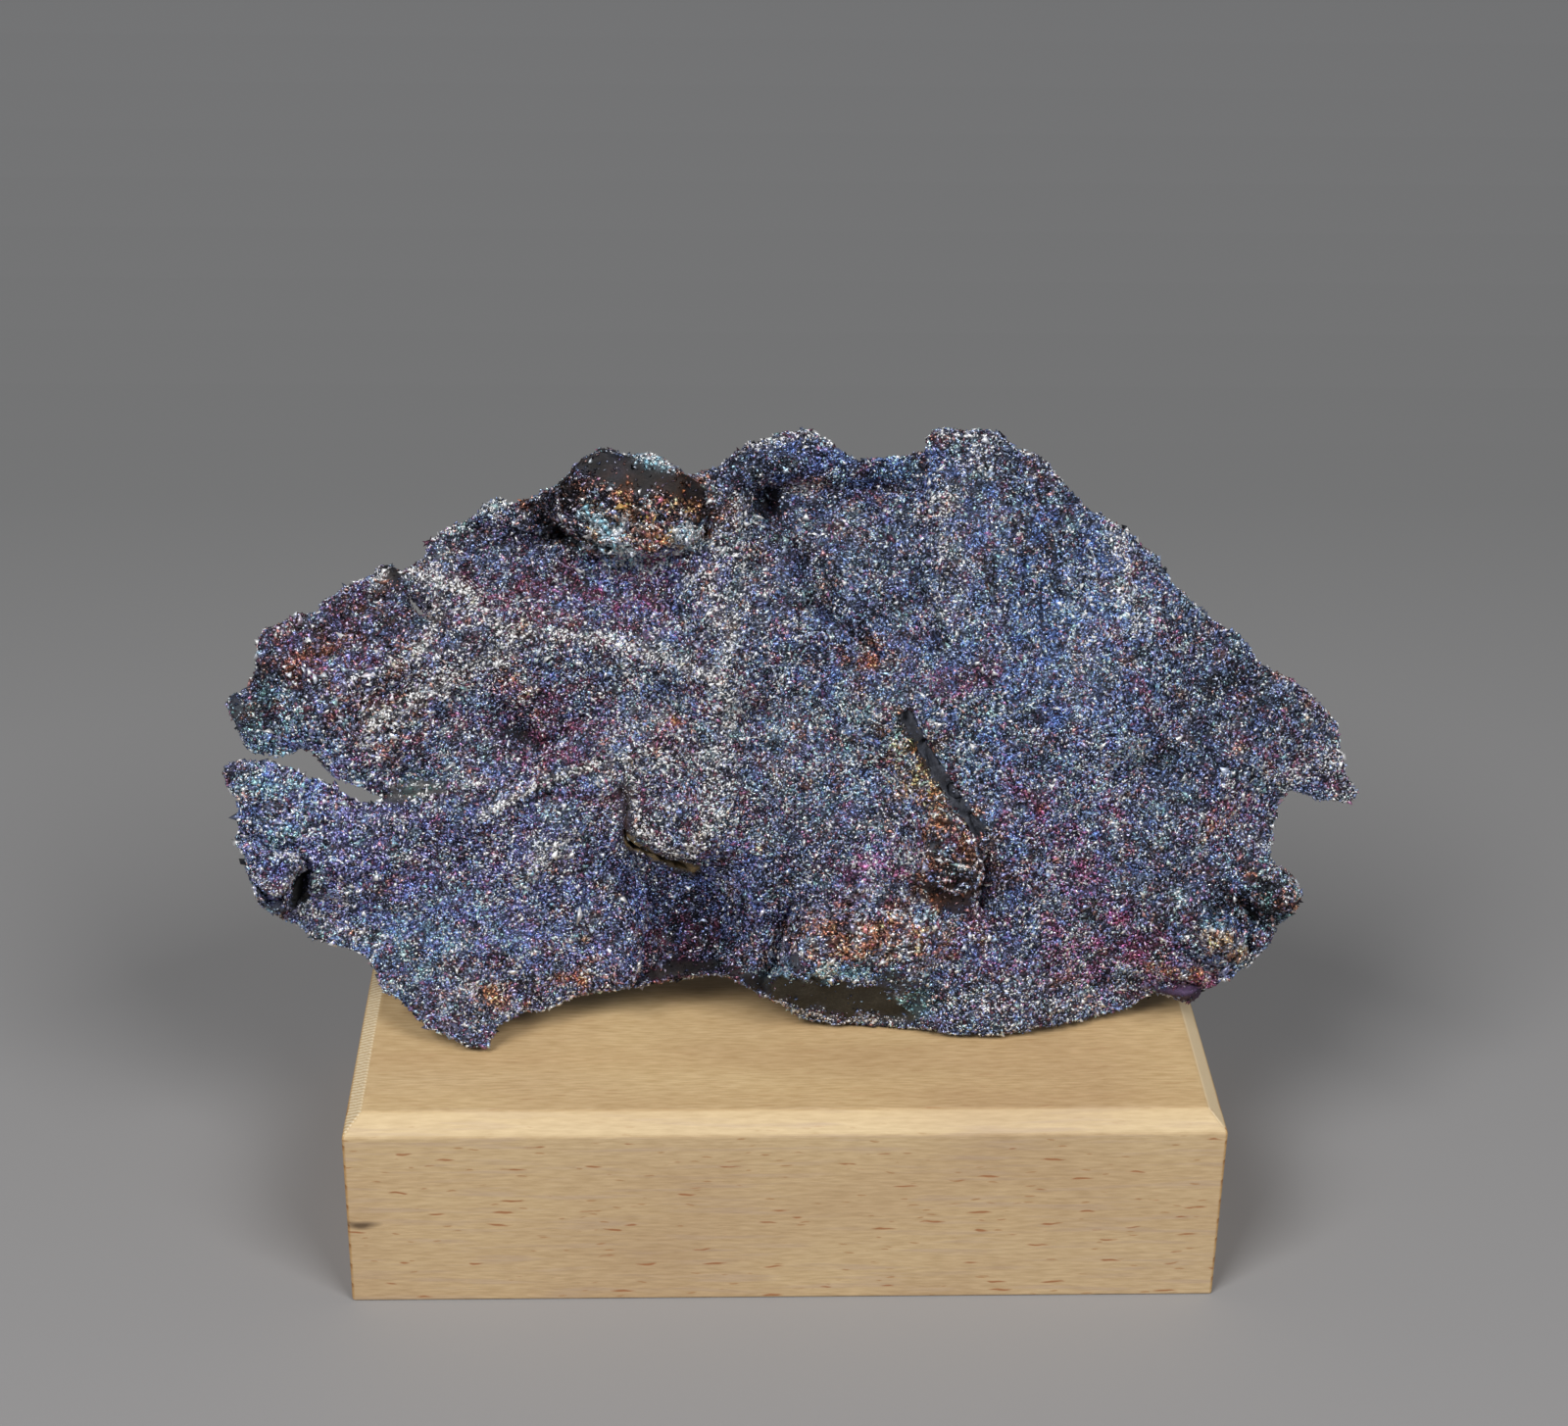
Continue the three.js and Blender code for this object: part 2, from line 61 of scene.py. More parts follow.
# Display block: a stock length of pale pine with its top edges planed to a narrow slope and its sharp
# edges eased with sandpaper. Left bare, so the grain, the short resin ducts and one small knot show.
HALF_LENGTH, HALF_DEPTH, BLOCK_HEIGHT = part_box("display_block")[1]
BLOCK_EDGE_EASE = 0.00035
SLOPE_WIDTH = 0.0021
END_GRAIN_DEPTH = 0.0003
ZONE_FADE = 0.0001
KNOT_PLACE = (-0.0485, -0.0254, 0.0118)
KNOT_SIZE = (0.0021, 0.004, 0.0006)


def linear(hex_colour):
    """An sRGB hex colour as linear numbers."""
    parts = [int(hex_colour[i:i + 2], 16) / 255 for i in (1, 3, 5)]
    return [p / 12.92 if p <= 0.04045 else ((p + 0.055) / 1.055) ** 2.4 for p in parts]


def add_node(tree, kind, inputs=None, stops=(), **settings):
    """A shader node with its settings and a ramp's stops. Each input is a value, a hex colour, a socket,
    or a node whose first output it takes."""
    node = tree.nodes.new("ShaderNode" + kind)
    for name, value in settings.items():
        setattr(node, name, value)
    for name, value in (inputs or {}).items():
        if isinstance(value, bpy.types.Node):
            value = value.outputs[0]
        if isinstance(value, bpy.types.NodeSocket):
            tree.links.new(value, node.inputs[name])
        elif isinstance(value, str):
            node.inputs[name].default_value = (*linear(value), 1.0)
        else:
            node.inputs[name].default_value = value
    if stops:
        while len(node.color_ramp.elements) < len(stops):
            node.color_ramp.elements.new(0.5)
        for element, (place, colour) in zip(node.color_ramp.elements, stops):
            element.position = place
            element.color = (*linear(colour), 1.0)
    return node


def new_material(name):
    """An empty node material, and its tree."""
    material = bpy.data.materials.new(name)
    material.use_nodes = True
    material.node_tree.nodes.clear()
    return material, material.node_tree


def finish_surface(tree, inputs):
    """The material's shader from these inputs, joined to its output."""
    shader = add_node(tree, "BsdfPrincipled", inputs)
    add_node(tree, "OutputMaterial", {"Surface": shader})


def shaded(tree, colour, pattern, stops):
    """A colour darkened where a pattern is low."""
    shade = add_node(tree, "ValToRGB", {"Fac": pattern}, stops)
    return add_node(tree, "MixRGB", {"Fac": 1.0, "Color1": colour, "Color2": shade}, blend_type="MULTIPLY")


def laid_over(tree, under, over, mask, strength=1.0):
    """One colour laid over another where a mask shows, as strongly as this."""
    share = add_node(tree, "Math", {0: mask, 1: strength}, operation="MULTIPLY")
    return add_node(tree, "MixRGB", {"Fac": share, "Color1": under, "Color2": over})


def bare_copy(node_name, piece_name):
    """A new object with a merged copy of a CAD node's mesh."""
    mesh = bpy.data.meshes.new(piece_name)
    bm = bmesh.new()
    bm.from_mesh(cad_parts[node_name].data)
    bmesh.ops.remove_doubles(bm, verts=bm.verts[:], dist=1e-6)
    bm.to_mesh(mesh)
    bm.free()
    while mesh.uv_layers:
        mesh.uv_layers.remove(mesh.uv_layers[0])
    if "custom_normal" in mesh.attributes:
        mesh.attributes.remove(mesh.attributes["custom_normal"])
    piece = bpy.data.objects.new(piece_name, mesh)
    bpy.context.scene.collection.objects.link(piece)
    return piece


def grain(tree, place, turns, detail):
    """Noise drawn out along the block, with this many turns a metre on each axis."""
    drawn = add_node(tree, "Mapping", {"Vector": place, "Scale": turns})
    return add_node(tree, "TexNoise", {"Vector": drawn, "Scale": 1.0, "Detail": detail})


def resin_ducts(tree, place, spacing, lengthen, reach):
    """How much of a resin duct shows at each place: thin brown cells along the grain."""
    across = 1.0 / spacing
    drawn = add_node(tree, "Mapping", {"Vector": place, "Scale": (across / lengthen, across, across)})
    cells = add_node(tree, "TexVoronoi", {"Vector": drawn, "Scale": 1.0}, feature="F1")
    return add_node(tree, "MapRange", {"Value": cells, "From Min": reach * 0.55, "From Max": reach,
                    "To Min": 1.0, "To Max": 0.0})


def pine():
    """Bare sanded pine: straw wood in faint level bands, fine pores, resin ducts 1 to 3 mm long."""
    material, tree = new_material("bare sanded pine")
    place = add_node(tree, "TexCoord").outputs["Object"]
    axes = add_node(tree, "SeparateXYZ", {"Vector": place}).outputs
    # The tree's heart lay below the block, so the rings cross it as long level bands.
    bands = grain(tree, place, (9.0, 150.0, 150.0), 3.0)
    clouds = grain(tree, place, (38.0, 70.0, 70.0), 2.0)
    pores = grain(tree, place, (420.0, 3000.0, 3000.0), 3.0)
    wood = add_node(tree, "ValToRGB", {"Fac": bands}, [
        (0.25, "#d3b385"), (0.5, "#d8ba8b"), (0.75, "#ddc193")])
    wood = shaded(tree, wood, clouds, [(0.3, "#efeaea"), (0.65, "#ffffff")])
    wood = shaded(tree, wood, pores, [(0.3, "#e6e0d6"), (0.7, "#ffffff")])
    # Where the planed slopes, their mitres at the corners and the sawn ends start.
    size_x, size_y = (add_node(tree, "Math", {0: axes[axis]}, operation="ABSOLUTE") for axis in "XY")
    beyond = add_node(tree, "Math", {0: size_x, 1: size_y}, operation="SUBTRACT", use_clamp=True)
    high, mitred, near_end, near_side, at_end = (
        add_node(tree, "MapRange", {"Value": value, "From Min": edge - ZONE_FADE,
                 "From Max": edge + ZONE_FADE})
        for value, edge in ((axes["Z"], BLOCK_HEIGHT - SLOPE_WIDTH), (beyond, HALF_LENGTH - HALF_DEPTH),
                            (size_x, HALF_LENGTH - SLOPE_WIDTH), (size_y, HALF_DEPTH - SLOPE_WIDTH),
                            (size_x, HALF_LENGTH - END_GRAIN_DEPTH)))
    mitre = add_node(tree, "Math", {0: high, 1: mitred}, operation="MULTIPLY")
    end_slope = add_node(tree, "Math", {0: mitre, 1: near_end}, operation="MULTIPLY")
    side_slope = add_node(tree, "Math", {0: high, 1: near_side}, operation="MULTIPLY")
    side_slope = add_node(tree, "Math", {0: side_slope, 1: mitre}, operation="SUBTRACT", use_clamp=True)
    # The front face is a little greyer, and the planed slopes cut the pale early wood.
    fronted = add_node(tree, "MapRange", {"Value": axes["Y"], "From Min": -0.0225, "From Max": -0.0245})
    wood = laid_over(tree, wood, "#b9b0a8", fronted, 0.1)
    wood = laid_over(tree, wood, "#efdcae", side_slope, 0.2)
    # Fine level streaks of late wood, some pinkish, on the front.
    streaks = grain(tree, place, (70.0, 1100.0, 1100.0), 2.0)
    late = add_node(tree, "MapRange", {"Value": streaks, "From Min": 0.52, "From Max": 0.68, "To Max": 0.4})
    wood = laid_over(tree, wood, "#b9a08c", fronted, late)
    # The saw's marks run slantwise over the end slopes, 0.6 mm apart.
    slant = add_node(tree, "Mapping", {"Vector": place, "Scale": (1200.0, 1047.0, 0.0)})
    saw = add_node(tree, "TexWave", {"Vector": slant, "Scale": 1.0, "Distortion": 3.0, "Detail": 2.0},
                   wave_type="BANDS", bands_direction="DIAGONAL")
    planed = add_node(tree, "MixRGB", {"Fac": 0.85, "Color1": wood, "Color2": "#fdebc8"})
    sawn = shaded(tree, planed, saw.outputs["Fac"], [(0.0, "#dccdb4"), (1.0, "#ffffff")])
    wood = laid_over(tree, wood, sawn, end_slope)
    # The sawn ends cut across the rings, whose heart was 45 mm under the block's foot.
    heart = add_node(tree, "Mapping", {"Vector": place, "Scale": (0.0, 120.0, 120.0),
                     "Location": (0.0, 0.4, 5.4)})
    rings = add_node(tree, "TexWave", {"Vector": heart, "Scale": 1.0, "Distortion": 1.2, "Detail": 2.0},
                     wave_type="RINGS", rings_direction="X", wave_profile="SAW")
    ringed = shaded(tree, wood, rings.outputs["Fac"], [(0.0, "#f3e8d6"), (0.7, "#ead8ba"), (0.95, "#c39d6e")])
    wood = laid_over(tree, wood, ringed, at_end)
    # Ducts wander a little, lie thick near the front face and thin on the top.
    warp = add_node(tree, "TexNoise", {"Vector": place, "Scale": 260.0}).outputs["Color"]
    warped = add_node(tree, "MixRGB", {"Fac": 0.0012, "Color1": place, "Color2": warp}, blend_type="ADD")
    moved = add_node(tree, "Mapping", {"Vector": warped, "Location": (0.013, 0.007, 0.019)})
    thick = add_node(tree, "MapRange", {"Value": fronted, "To Min": 0.2, "To Max": 0.85})
    planed_off = add_node(tree, "Math", {0: side_slope, 1: 0.6}, operation="MULTIPLY")
    thick = add_node(tree, "Math", {0: thick, 1: planed_off}, operation="SUBTRACT", use_clamp=True)
    wood = laid_over(tree, wood, "#a2683e", resin_ducts(tree, warped, 0.0011, 9.0, 0.165), thick)
    wood = laid_over(tree, wood, "#b0855a", resin_ducts(tree, moved, 0.0008, 6.0, 0.16), thick)
    # The tail of a small knot at the front's left end.
    knot_place = add_node(tree, "Mapping", {
        "Vector": warped, "Scale": [1 / size for size in KNOT_SIZE],
        "Location": [-middle / size for middle, size in zip(KNOT_PLACE, KNOT_SIZE)]})
    away = add_node(tree, "VectorMath", {0: knot_place}, operation="LENGTH").outputs["Value"]
    knot = add_node(tree, "MapRange", {"Value": away, "From Min": 0.35, "From Max": 1.2, "To Min": 0.85,
                    "To Max": 0.0})
    wood = laid_over(tree, wood, "#4e3a26", knot)
    bump = add_node(tree, "Bump", {"Height": pores, "Strength": 0.3, "Distance": 0.00012})
    finish_surface(tree, {"Base Color": wood, "Roughness": 0.62, "Normal": bump})
    return material


def add_block():
    """The block with every edge eased a little, as sandpaper leaves it."""
    block = bare_copy("display_block", "pine_block")
    bm = bmesh.new()
    bm.from_mesh(block.data)
    bmesh.ops.dissolve_limit(bm, angle_limit=0.01, verts=bm.verts[:], edges=bm.edges[:])
    bmesh.ops.bevel(bm, geom=bm.edges[:], offset=BLOCK_EDGE_EASE, offset_type="OFFSET", segments=3,
                    profile=0.5, affect="EDGES", material=-1)
    bmesh.ops.recalc_face_normals(bm, faces=bm.faces[:])
    bm.to_mesh(block.data)
    bm.free()
    block.data.materials.clear()
    block.data.materials.append(pine())
    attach(block, "root")
    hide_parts("display_block")


add_block()


# Ore sheet: one crumpled crust of copper iron sulphide, thin at its rim, leaning back on its lower edge.
# Formed in one piece, so this is one closed skin, made from the solid with its facets softened and
# the finer ridges, creases, steps, planes and hollows raised on it.
MM = 0.001
# The relief is worked in mm on the leaning sheet: u runs along it, v up it, and it rises towards a focus.
SHEET_LEAN = math.radians(14)
SHEET_FOOT = np.array([0.0, -6.0, 25.4])
SHEET_UP = np.array([0.0, math.sin(SHEET_LEAN), math.cos(SHEET_LEAN)])
SHEET_OUT = np.array([0.0, -math.cos(SHEET_LEAN), math.sin(SHEET_LEAN)])
RELIEF_FOCUS = np.array([-11.3, -293.5, 213.7])
SKIN_VOXEL = 0.00055
# How many passes even out the facets, the slit's two sides, the facing and the rim, and each pass's share.
FACET_SOFTENING = 30
SLIT_SOFTENING = 90
SIDE_SOFTENING = 8
RIM_SOFTENING = 4
SOFTENING_SHARE = 0.6
RIM_SOFTENING_SHARE = 0.5


def to_sheet(points):
    """Points in mm as u along the sheet, v up it and w, the relief towards the focus."""
    ray = points - RELIEF_FOCUS
    reach = ((SHEET_FOOT - RELIEF_FOCUS) @ SHEET_OUT) / (ray @ SHEET_OUT)
    on_sheet = RELIEF_FOCUS + ray * reach[:, None]
    depth = np.linalg.norm(on_sheet - RELIEF_FOCUS, axis=1) - np.linalg.norm(ray, axis=1)
    return np.column_stack([on_sheet[:, 0], (on_sheet - SHEET_FOOT) @ SHEET_UP, depth])


def from_sheet(sheet):
    """The reverse of to_sheet."""
    on_sheet = SHEET_FOOT + sheet[:, :1] * [1.0, 0.0, 0.0] + sheet[:, 1:2] * SHEET_UP
    outwards = RELIEF_FOCUS - on_sheet
    outwards /= np.linalg.norm(outwards, axis=1)[:, None]
    return on_sheet + outwards * sheet[:, 2:3]


def numbers(items, name, width=1, kind=np.float32):
    """One property of every vertex, face or edge as an array."""
    found = np.empty(len(items) * width, kind)
    items.foreach_get(name, found)
    return found.reshape(-1, width) if width > 1 else found


def store(items, name, values, kind=np.float32):
    """Sets one property of every vertex, face or corner from an array."""
    items.foreach_set(name, values.astype(kind).ravel())


def nearest(uv, line):
    """From a line of points to each (u, v): the gap in mm, the sine of its turn from the line's
    direction (1 straight out on the left, -1 on the right) and the way."""
    gap = np.full(len(uv), 1e9)
    turn = np.zeros(len(uv))
    away = np.zeros_like(uv)
    for start, end in zip(np.array(line[:-1], float), np.array(line[1:], float)):
        along = end - start
        offset = uv - start
        share = np.clip(offset @ along / (along @ along), 0.0, 1.0)
        off_line = offset - share[:, None] * along
        distance = np.maximum(np.linalg.norm(off_line, axis=1), 1e-6)
        closer = distance < gap
        way = off_line / distance[:, None]
        sine = (along[0] * way[:, 1] - along[1] * way[:, 0]) / np.linalg.norm(along)
        gap[closer] = distance[closer]
        turn[closer] = sine[closer]
        away[closer] = way[closer]
    return gap, turn, away


def band(uv, line, half_width):
    """One on a line of points, and falling away evenly beside it."""
    return np.exp(-(nearest(uv, line)[0] / half_width) ** 2)


def hill(uv, u, v, ru, rv, turn=0.0):
    """A smooth round bump of height one at (u, v), with these radii and turned by degrees."""
    c, s = math.cos(math.radians(turn)), math.sin(math.radians(turn))
    du, dv = uv[:, 0] - u, uv[:, 1] - v
    return np.exp(-((du * c + dv * s) / ru) ** 2 - ((dv * c - du * s) / rv) ** 2)


def smooth_step(low, high, x):
    """Zero below low, one above high and an even curve between."""
    t = np.clip((x - low) / (high - low), 0.0, 1.0)
    return t * t * (3.0 - 2.0 * t)


def depth_inside(uv, outline):
    """How far in mm each (u, v) is inside a closed outline; below zero outside it."""
    closed = outline + outline[:1]
    inside = np.zeros(len(uv), bool)
    for (u0, v0), (u1, v1) in zip(closed[:-1], closed[1:]):
        spans = (v0 > uv[:, 1]) != (v1 > uv[:, 1])
        crossing = u0 + (uv[:, 1] - v0) * (u1 - u0) / ((v1 - v0) or 1.0)
        inside ^= spans & (uv[:, 0] < crossing)
    return np.where(inside, 1.0, -1.0) * nearest(uv, closed)[0]


def rough(points, size, seed, octaves=3):
    """Cloudy noise of about this size in mm at each point, from -1 to 1."""
    shift = Vector((seed * 17.3, seed * 5.1, seed * 9.7))
    scale = 1.0 / size
    return np.array([noise.fractal(Vector(p) * scale + shift, 1.0, 2.0, octaves,
                                   noise_basis="PERLIN_ORIGINAL") for p in points])


# The crack and the small hole go right through. Each is a line, how far it is opened before the skin is
# evened out, and how far it is closed again afterwards.
CRACK = [(-19.1, 29.8), (-18.85, 27.1), (-18.7, 24.0), (-18.2, 22.8), (-14.6, 21.0), (-10.4, 19.6)]
HOLE = [(-43.4, 52.1), (-42.3, 51.4), (-41.7, 50.3)]
SLOTS = [(CRACK, 0.45, 1.0), (CRACK[:3], 0.0, 0.4), (HOLE, 0.6, 0.5)]
SLOT_REACH = 1.5
# Raised lines, each as its height and half width in mm and its points.
RIDGES = [
    (0.7, 1.3, [(-40.5, 54), (-39, 51.5), (-33, 50), (-28, 48.6), (-19, 46.4), (-12, 43.4), (-8, 42.2)]),
    (0.5, 1.0, [(-53, 41), (-45, 44), (-37.5, 46), (-33, 50)]),
    (0.9, 2.2, [(-6, 65), (-8.4, 53), (-8, 40), (-8.3, 30), (-9, 24)]),
    (0.6, 1.0, [(-10.5, 22.3), (-13, 22), (-17, 24)]),
    (0.6, 0.9, [(-35.5, 26), (-31, 29), (-26, 31.9), (-22, 33)]),
    (0.5, 1.4, [(-31, 19.5), (-27, 24), (-23, 28), (-20, 31)]),
    (0.4, 0.9, [(-45, 28.9), (-41.4, 29.7), (-35, 30.4)]),
    (0.5, 2.2, [(18, 66), (18, 58), (20, 48)]),
    (0.6, 2.6, [(36, 60), (38, 52), (37, 44), (33, 34), (32, 22)]),
    (0.5, 1.6, [(-3.5, 17), (-4, 9)]),
    (0.9, 1.3, [(-4.5, 67.6), (2, 67.2), (8, 66.6), (14, 66.8)]),
    (1.0, 0.8, [(-46.9, 56.2), (-45.2, 54.2), (-43.9, 52.6)]),
    (0.35, 0.45, [(3, 11.8), (8, 12.2), (15, 11.6)]),
    (0.35, 0.45, [(3, 9.8), (9, 10.2), (16, 9.8)]),
    (0.35, 0.4, [(-46.5, 29.8), (-43.5, 30.1), (-41, 29.9)]),
    (0.35, 0.4, [(-46, 28.6), (-43.5, 28.7), (-41, 28.9)]),
    (0.8, 0.9, [(0.8, 30.8), (-0.4, 24)]),
]
# Creases, in the same way.
CREASES = [
    (0.6, 0.7, [(-3.5, 38.5), (1, 40.5), (5, 43.5), (10, 46.5), (13, 45)]),
    (0.7, 0.7, [(-47, 30.9), (-43, 31.2), (-40.5, 30.9)]),
    (1.3, 0.9, [(-26.9, 59.7), (-25.1, 59.4), (-23.3, 58.6), (-21.3, 57.1)]),
    (0.4, 0.8, [(-19.3, 56.8), (-16.5, 57.1), (-14.4, 57.6), (-10.8, 57.8)]),
    (2.0, 0.7, [(52.1, 17.2), (53.2, 15.9), (54.9, 15.1), (56.2, 13.9), (57.1, 12.7)]),
    (1.6, 0.7, [(54.2, 13.6), (55.0, 12.4), (55.9, 10.6), (56.4, 9.2)]),
    (1.6, 0.7, [(47.4, 9.6), (49.0, 8.6), (50.6, 7.6), (52.0, 6.0)]),
    (1.4, 0.6, [(45.3, 5.6), (48.6, 5.4), (51.2, 4.6)]),
    (2.2, 0.55, [(24.1, 21.3), (23.6, 18.5), (23.8, 14.9)]),
    (0.5, 0.5, [(29, 0.5), (29.5, 4)]),
    (0.5, 0.5, [(32, 0.8), (32.4, 4)]),
    (1.0, 0.8, [(-2.6, 65.2), (3, 64.9), (8, 64.9), (13, 65.3)]),
    (0.7, 0.5, [(1.5, 15.2), (5.6, 15.6), (9.2, 14.6), (16.6, 14.0)]),
    (1.4, 0.8, [(-32.7, 39.5), (-30.8, 36.6), (-28.8, 33.4), (-25.9, 36.0), (-23.6, 38.1)]),
    (1.0, 0.9, [(-25.4, 23.5), (-20.8, 21.7), (-17.9, 18.1), (-16.2, 15.7)]),
    (1.6, 0.9, [(-2.4, 63.5), (-1.4, 61.5), (1.5, 57.0), (3.3, 51.8)]),
    (1.1, 0.7, [(3.3, 51.8), (9.0, 47.1), (12.7, 44.2)]),
    (1.4, 0.9, [(-29.5, 63.0), (-27.8, 61.6), (-25.6, 60.0), (-23.2, 58.6), (-21.6, 57.0)]),
    (0.8, 0.6, [(-60.0, 34.0), (-58.9, 36.5), (-59.6, 39.5)]),
]
# Steps, where one part of the crust stands over the next: the rise and how far it fades, the drop and how
# far it fades, the wall's width, and the line with the high side on its left.
SLIT = [(14.0, 39.0), (15.4, 36.0), (17.2, 33.2), (18.4, 31.0), (20.0, 28.5), (21.7, 26.3), (23.6, 23.8)]
WALL_WIDTH = 1.5
STEPS = [
    (1.3, 3.5, 1.0, 0.9, WALL_WIDTH, SLIT),
    (1.1, 3.0, 1.5, 2.2, 0.5, [(-17.7, 5.3), (-17.1, 7.8), (-16.8, 12), (-16.6, 14.5), (-16.4, 17),
                               (-17.9, 19.3), (-18.6, 22.0)]),
    (0.7, 2.0, 2.0, 1.1, 0.5, [(1.3, 14.6), (1.0, 12.8), (0.2, 10.9), (0.0, 8.5), (-0.4, 7.1)]),
    (0.6, 1.6, 0.7, 0.9, 0.5, [(-55.4, 16.7), (-53.3, 16.5), (-51.2, 16.2), (-48.8, 14.9), (-44.1, 14.9)]),
    (1.5, 1.8, 2.4, 1.2, 0.4, [(-62.6, 18.6), (-61.4, 17.3), (-60.3, 16.6), (-59.1, 16.7), (-58.8, 17.6),
                               (-57.9, 18.9), (-56.8, 19.8), (-56.7, 20.8), (-57.8, 21.5), (-59.9, 21.7),
                               (-61.3, 22.3), (-63.4, 22.8)]),
    (0.8, 1.5, 0.7, 0.8, 0.5, [(-41.0, 48.9), (-42.2, 50.8), (-43.6, 52.4)]),
]
# Hollows: u, v, two radii, turn and depth.
HOLLOWS = [
    (-30, 37, 5, 3, 20, 0.9), (-31.5, 36.0, 1.9, 1.0, -30, 0.7), (-56.9, 18.2, 0.9, 2.8, -12, 1.6),
    (52.4, 15.9, 1.8, 1.0, -35, 1.2),
    (-2.4, 63.6, 2.3, 2.3, 0, 2.6), (-9.3, 60.4, 0.9, 1.4, 0, 1.8), (-26.5, 60.4, 2.6, 1.3, -30, 1.4),
    (19.4, 16.8, 3.2, 1.6, 0, 1.3), (-12, 9.5, 3.4, 2.2, 0, 1.0), (-43.6, 29.8, 3.6, 1.6, 0, 0.8),
    (17.0, 22.6, 1.2, 0.5, 15, 0.5), (49, 2.0, 2.6, 1.0, 0, 0.7), (60.5, 12.0, 1.6, 1.0, 0, 1.0),
]
# Rounded knobs at the rim: height, how far in they round over, outline.
KNOBS = [
    (2.2, 1.6, [(55.4, 16.2), (57.2, 18.4), (60.4, 20.2), (62.9, 18.6), (63.7, 16.2), (62.6, 13.2),
                (59.6, 13.6), (57.4, 14.2)]),
    (1.6, 1.2, [(56.2, 12.6), (59.2, 12.2), (60.0, 10.2), (58.6, 8.6), (57.0, 9.2)]),
    (2.0, 1.4, [(50.0, 13.6), (53.2, 13.4), (55.2, 10.6), (56.0, 8.3), (53.6, 7.6), (50.6, 9.6)]),
    (1.4, 1.2, [(44.8, 7.6), (48.2, 8.4), (51.4, 6.6), (51.8, 4.9), (48.0, 5.4), (45.0, 5.6)]),
    (1.2, 0.8, [(45.1, 5.1), (50.5, 4.9), (51.0, 3.2), (48.0, 2.4), (45.2, 3.2)]),
]
# The brow, a boulder with flat faces that juts from the upper left, and the planes that bound it.
BROW = [
    (-21.1, 72.5), (-25.5, 69.5), (-28.6, 66.4), (-28.2, 62.5), (-26.9, 60.3), (-25.1, 60.1), (-23.3, 59.4),
    (-21.3, 57.9), (-19.3, 57.5), (-16.5, 57.8), (-14.4, 58.3), (-10.8, 58.4), (-9.5, 59.1), (-8.9, 61.5),
    (-8.7, 64.5), (-9.4, 67.2), (-12.0, 69.5), (-14.2, 71.5), (-16.9, 72.0), (-19.5, 72.2),
]
# Each plane's height where u is this and v is BROW_MIDDLE, and its slopes along u and v.
BROW_PLANES = [(6.9, 0, 0.0, -0.5), (7.4, 0, 0.0, 0.15), (7.6, -22, 0.9, 0.0), (7.4, -12.5, -1.2, 0.0),
               (8.0, -17, 0.35, 0.5)]
BROW_MIDDLE = 65
BROW_SIDE_SLOPE = 1.7
# The ledge low in the middle has a smooth hanging underside.
OVERHANG = [
    (-1.4, 6.4), (0.8, 7.4), (2.7, 6.9), (4.7, 6.3), (7.7, 6.2), (11.0, 6.2), (12.6, 6.8), (15.6, 7.0),
    (17.4, 6.4), (16.5, 4.4), (15.2, 3.2), (13.7, 1.7), (11.1, 1.1), (7.1, 1.0), (3.6, 1.5), (0.3, 2.6),
    (-1.4, 3.8),
]
# Its depth at its foot, how it slopes up the sheet, and the low waves along it.
UNDERSIDE_DEPTH = 1.3
UNDERSIDE_FOOT = 0.8
UNDERSIDE_SLOPE = 1.05
UNDERSIDE_WAVE = 0.3
UNDERSIDE_WAVES_PER_MM = 0.9
# The valley is sunk, and its lower lip curls forward over an arch; beside it the rim turns back, down to the
# block. Each is u, v, two radii and how far it comes forward.
SWELLS = [(-9, 6, 7.5, 3.6, 7.2), (-9, 14, 6.5, 7, -3.6), (-27, 4, 7, 4, -2.0), (43, 4, 8, 5, -4.0)]
# The crust is thickest behind the arch.
ARCH_BACKING = (-8, 8, 9, 4)
ARCH_BACKING_DEPTH = 3.0
# What rises over the limit is pressed down to this share.
RELIEF_LIMIT = 9.5
OVER_LIMIT_SHARE = 0.35
CRACK_SLANT = (-0.7, 1.3)
CRACK_SLANT_REACH = 2.0
# The fan at the right, u, v and two radii, is less crumpled than the rest, by this share.
FAN = (30.0, 45.0, 17.0, 20.0)
FAN_CALM = 0.45
# Crumpling: its size in mm, its height and its seed.
CRUMPLING = [(9.0, 0.5, 1), (4.2, 0.55, 2)]
GRIT_SIZE = 2.1
GRIT_HEIGHT = 0.46
# The ragged rim: the size of its notches and nicks, how deep they are, and the octaves of their noise.
RIM_NOTCHES = (1.9, 0.42, 2)
RIM_NICKS = (0.9, 0.3, 1)
BOX_GAP = 0.03
BLOCK_GAP = 0.02
# Fine striae run over the crust, mostly over the fan: where (u, v, two radii), their run in degrees from u,
# and how marked they are.
STRIAE = [
    (38, 20, 13, 11, -41, 1.0), (55, 34, 9, 10, -28, 1.0), (46, 44, 9, 9, -52, 0.8), (24, 60, 9, 12, 92, 0.8),
    (36, 48, 8, 12, 100, 0.7), (2, 57, 7, 9, -62, 0.7), (-15, 50, 12, 6, -18, 0.6), (-45, 24, 14, 5, 6, 0.7),
    (-48, 38, 9, 7, 14, 0.6), (-9, 12, 6, 9, 84, 0.8),
]
STRIAE_GAP = 1.1
STRIAE_RUN = 9.0
STRIAE_HEIGHT = 0.3


def move_slots(sheet, opening):
    """Moves what lies beside the crack and the hole away from them, or back."""
    for line, opened, closed in SLOTS:
        gap, _, away = nearest(sheet[:, :2], line)
        move = opened if opening else -closed
        sheet[:, :2] += away * (move * np.exp(-(gap / SLOT_REACH) ** 2))[:, None]
    return sheet


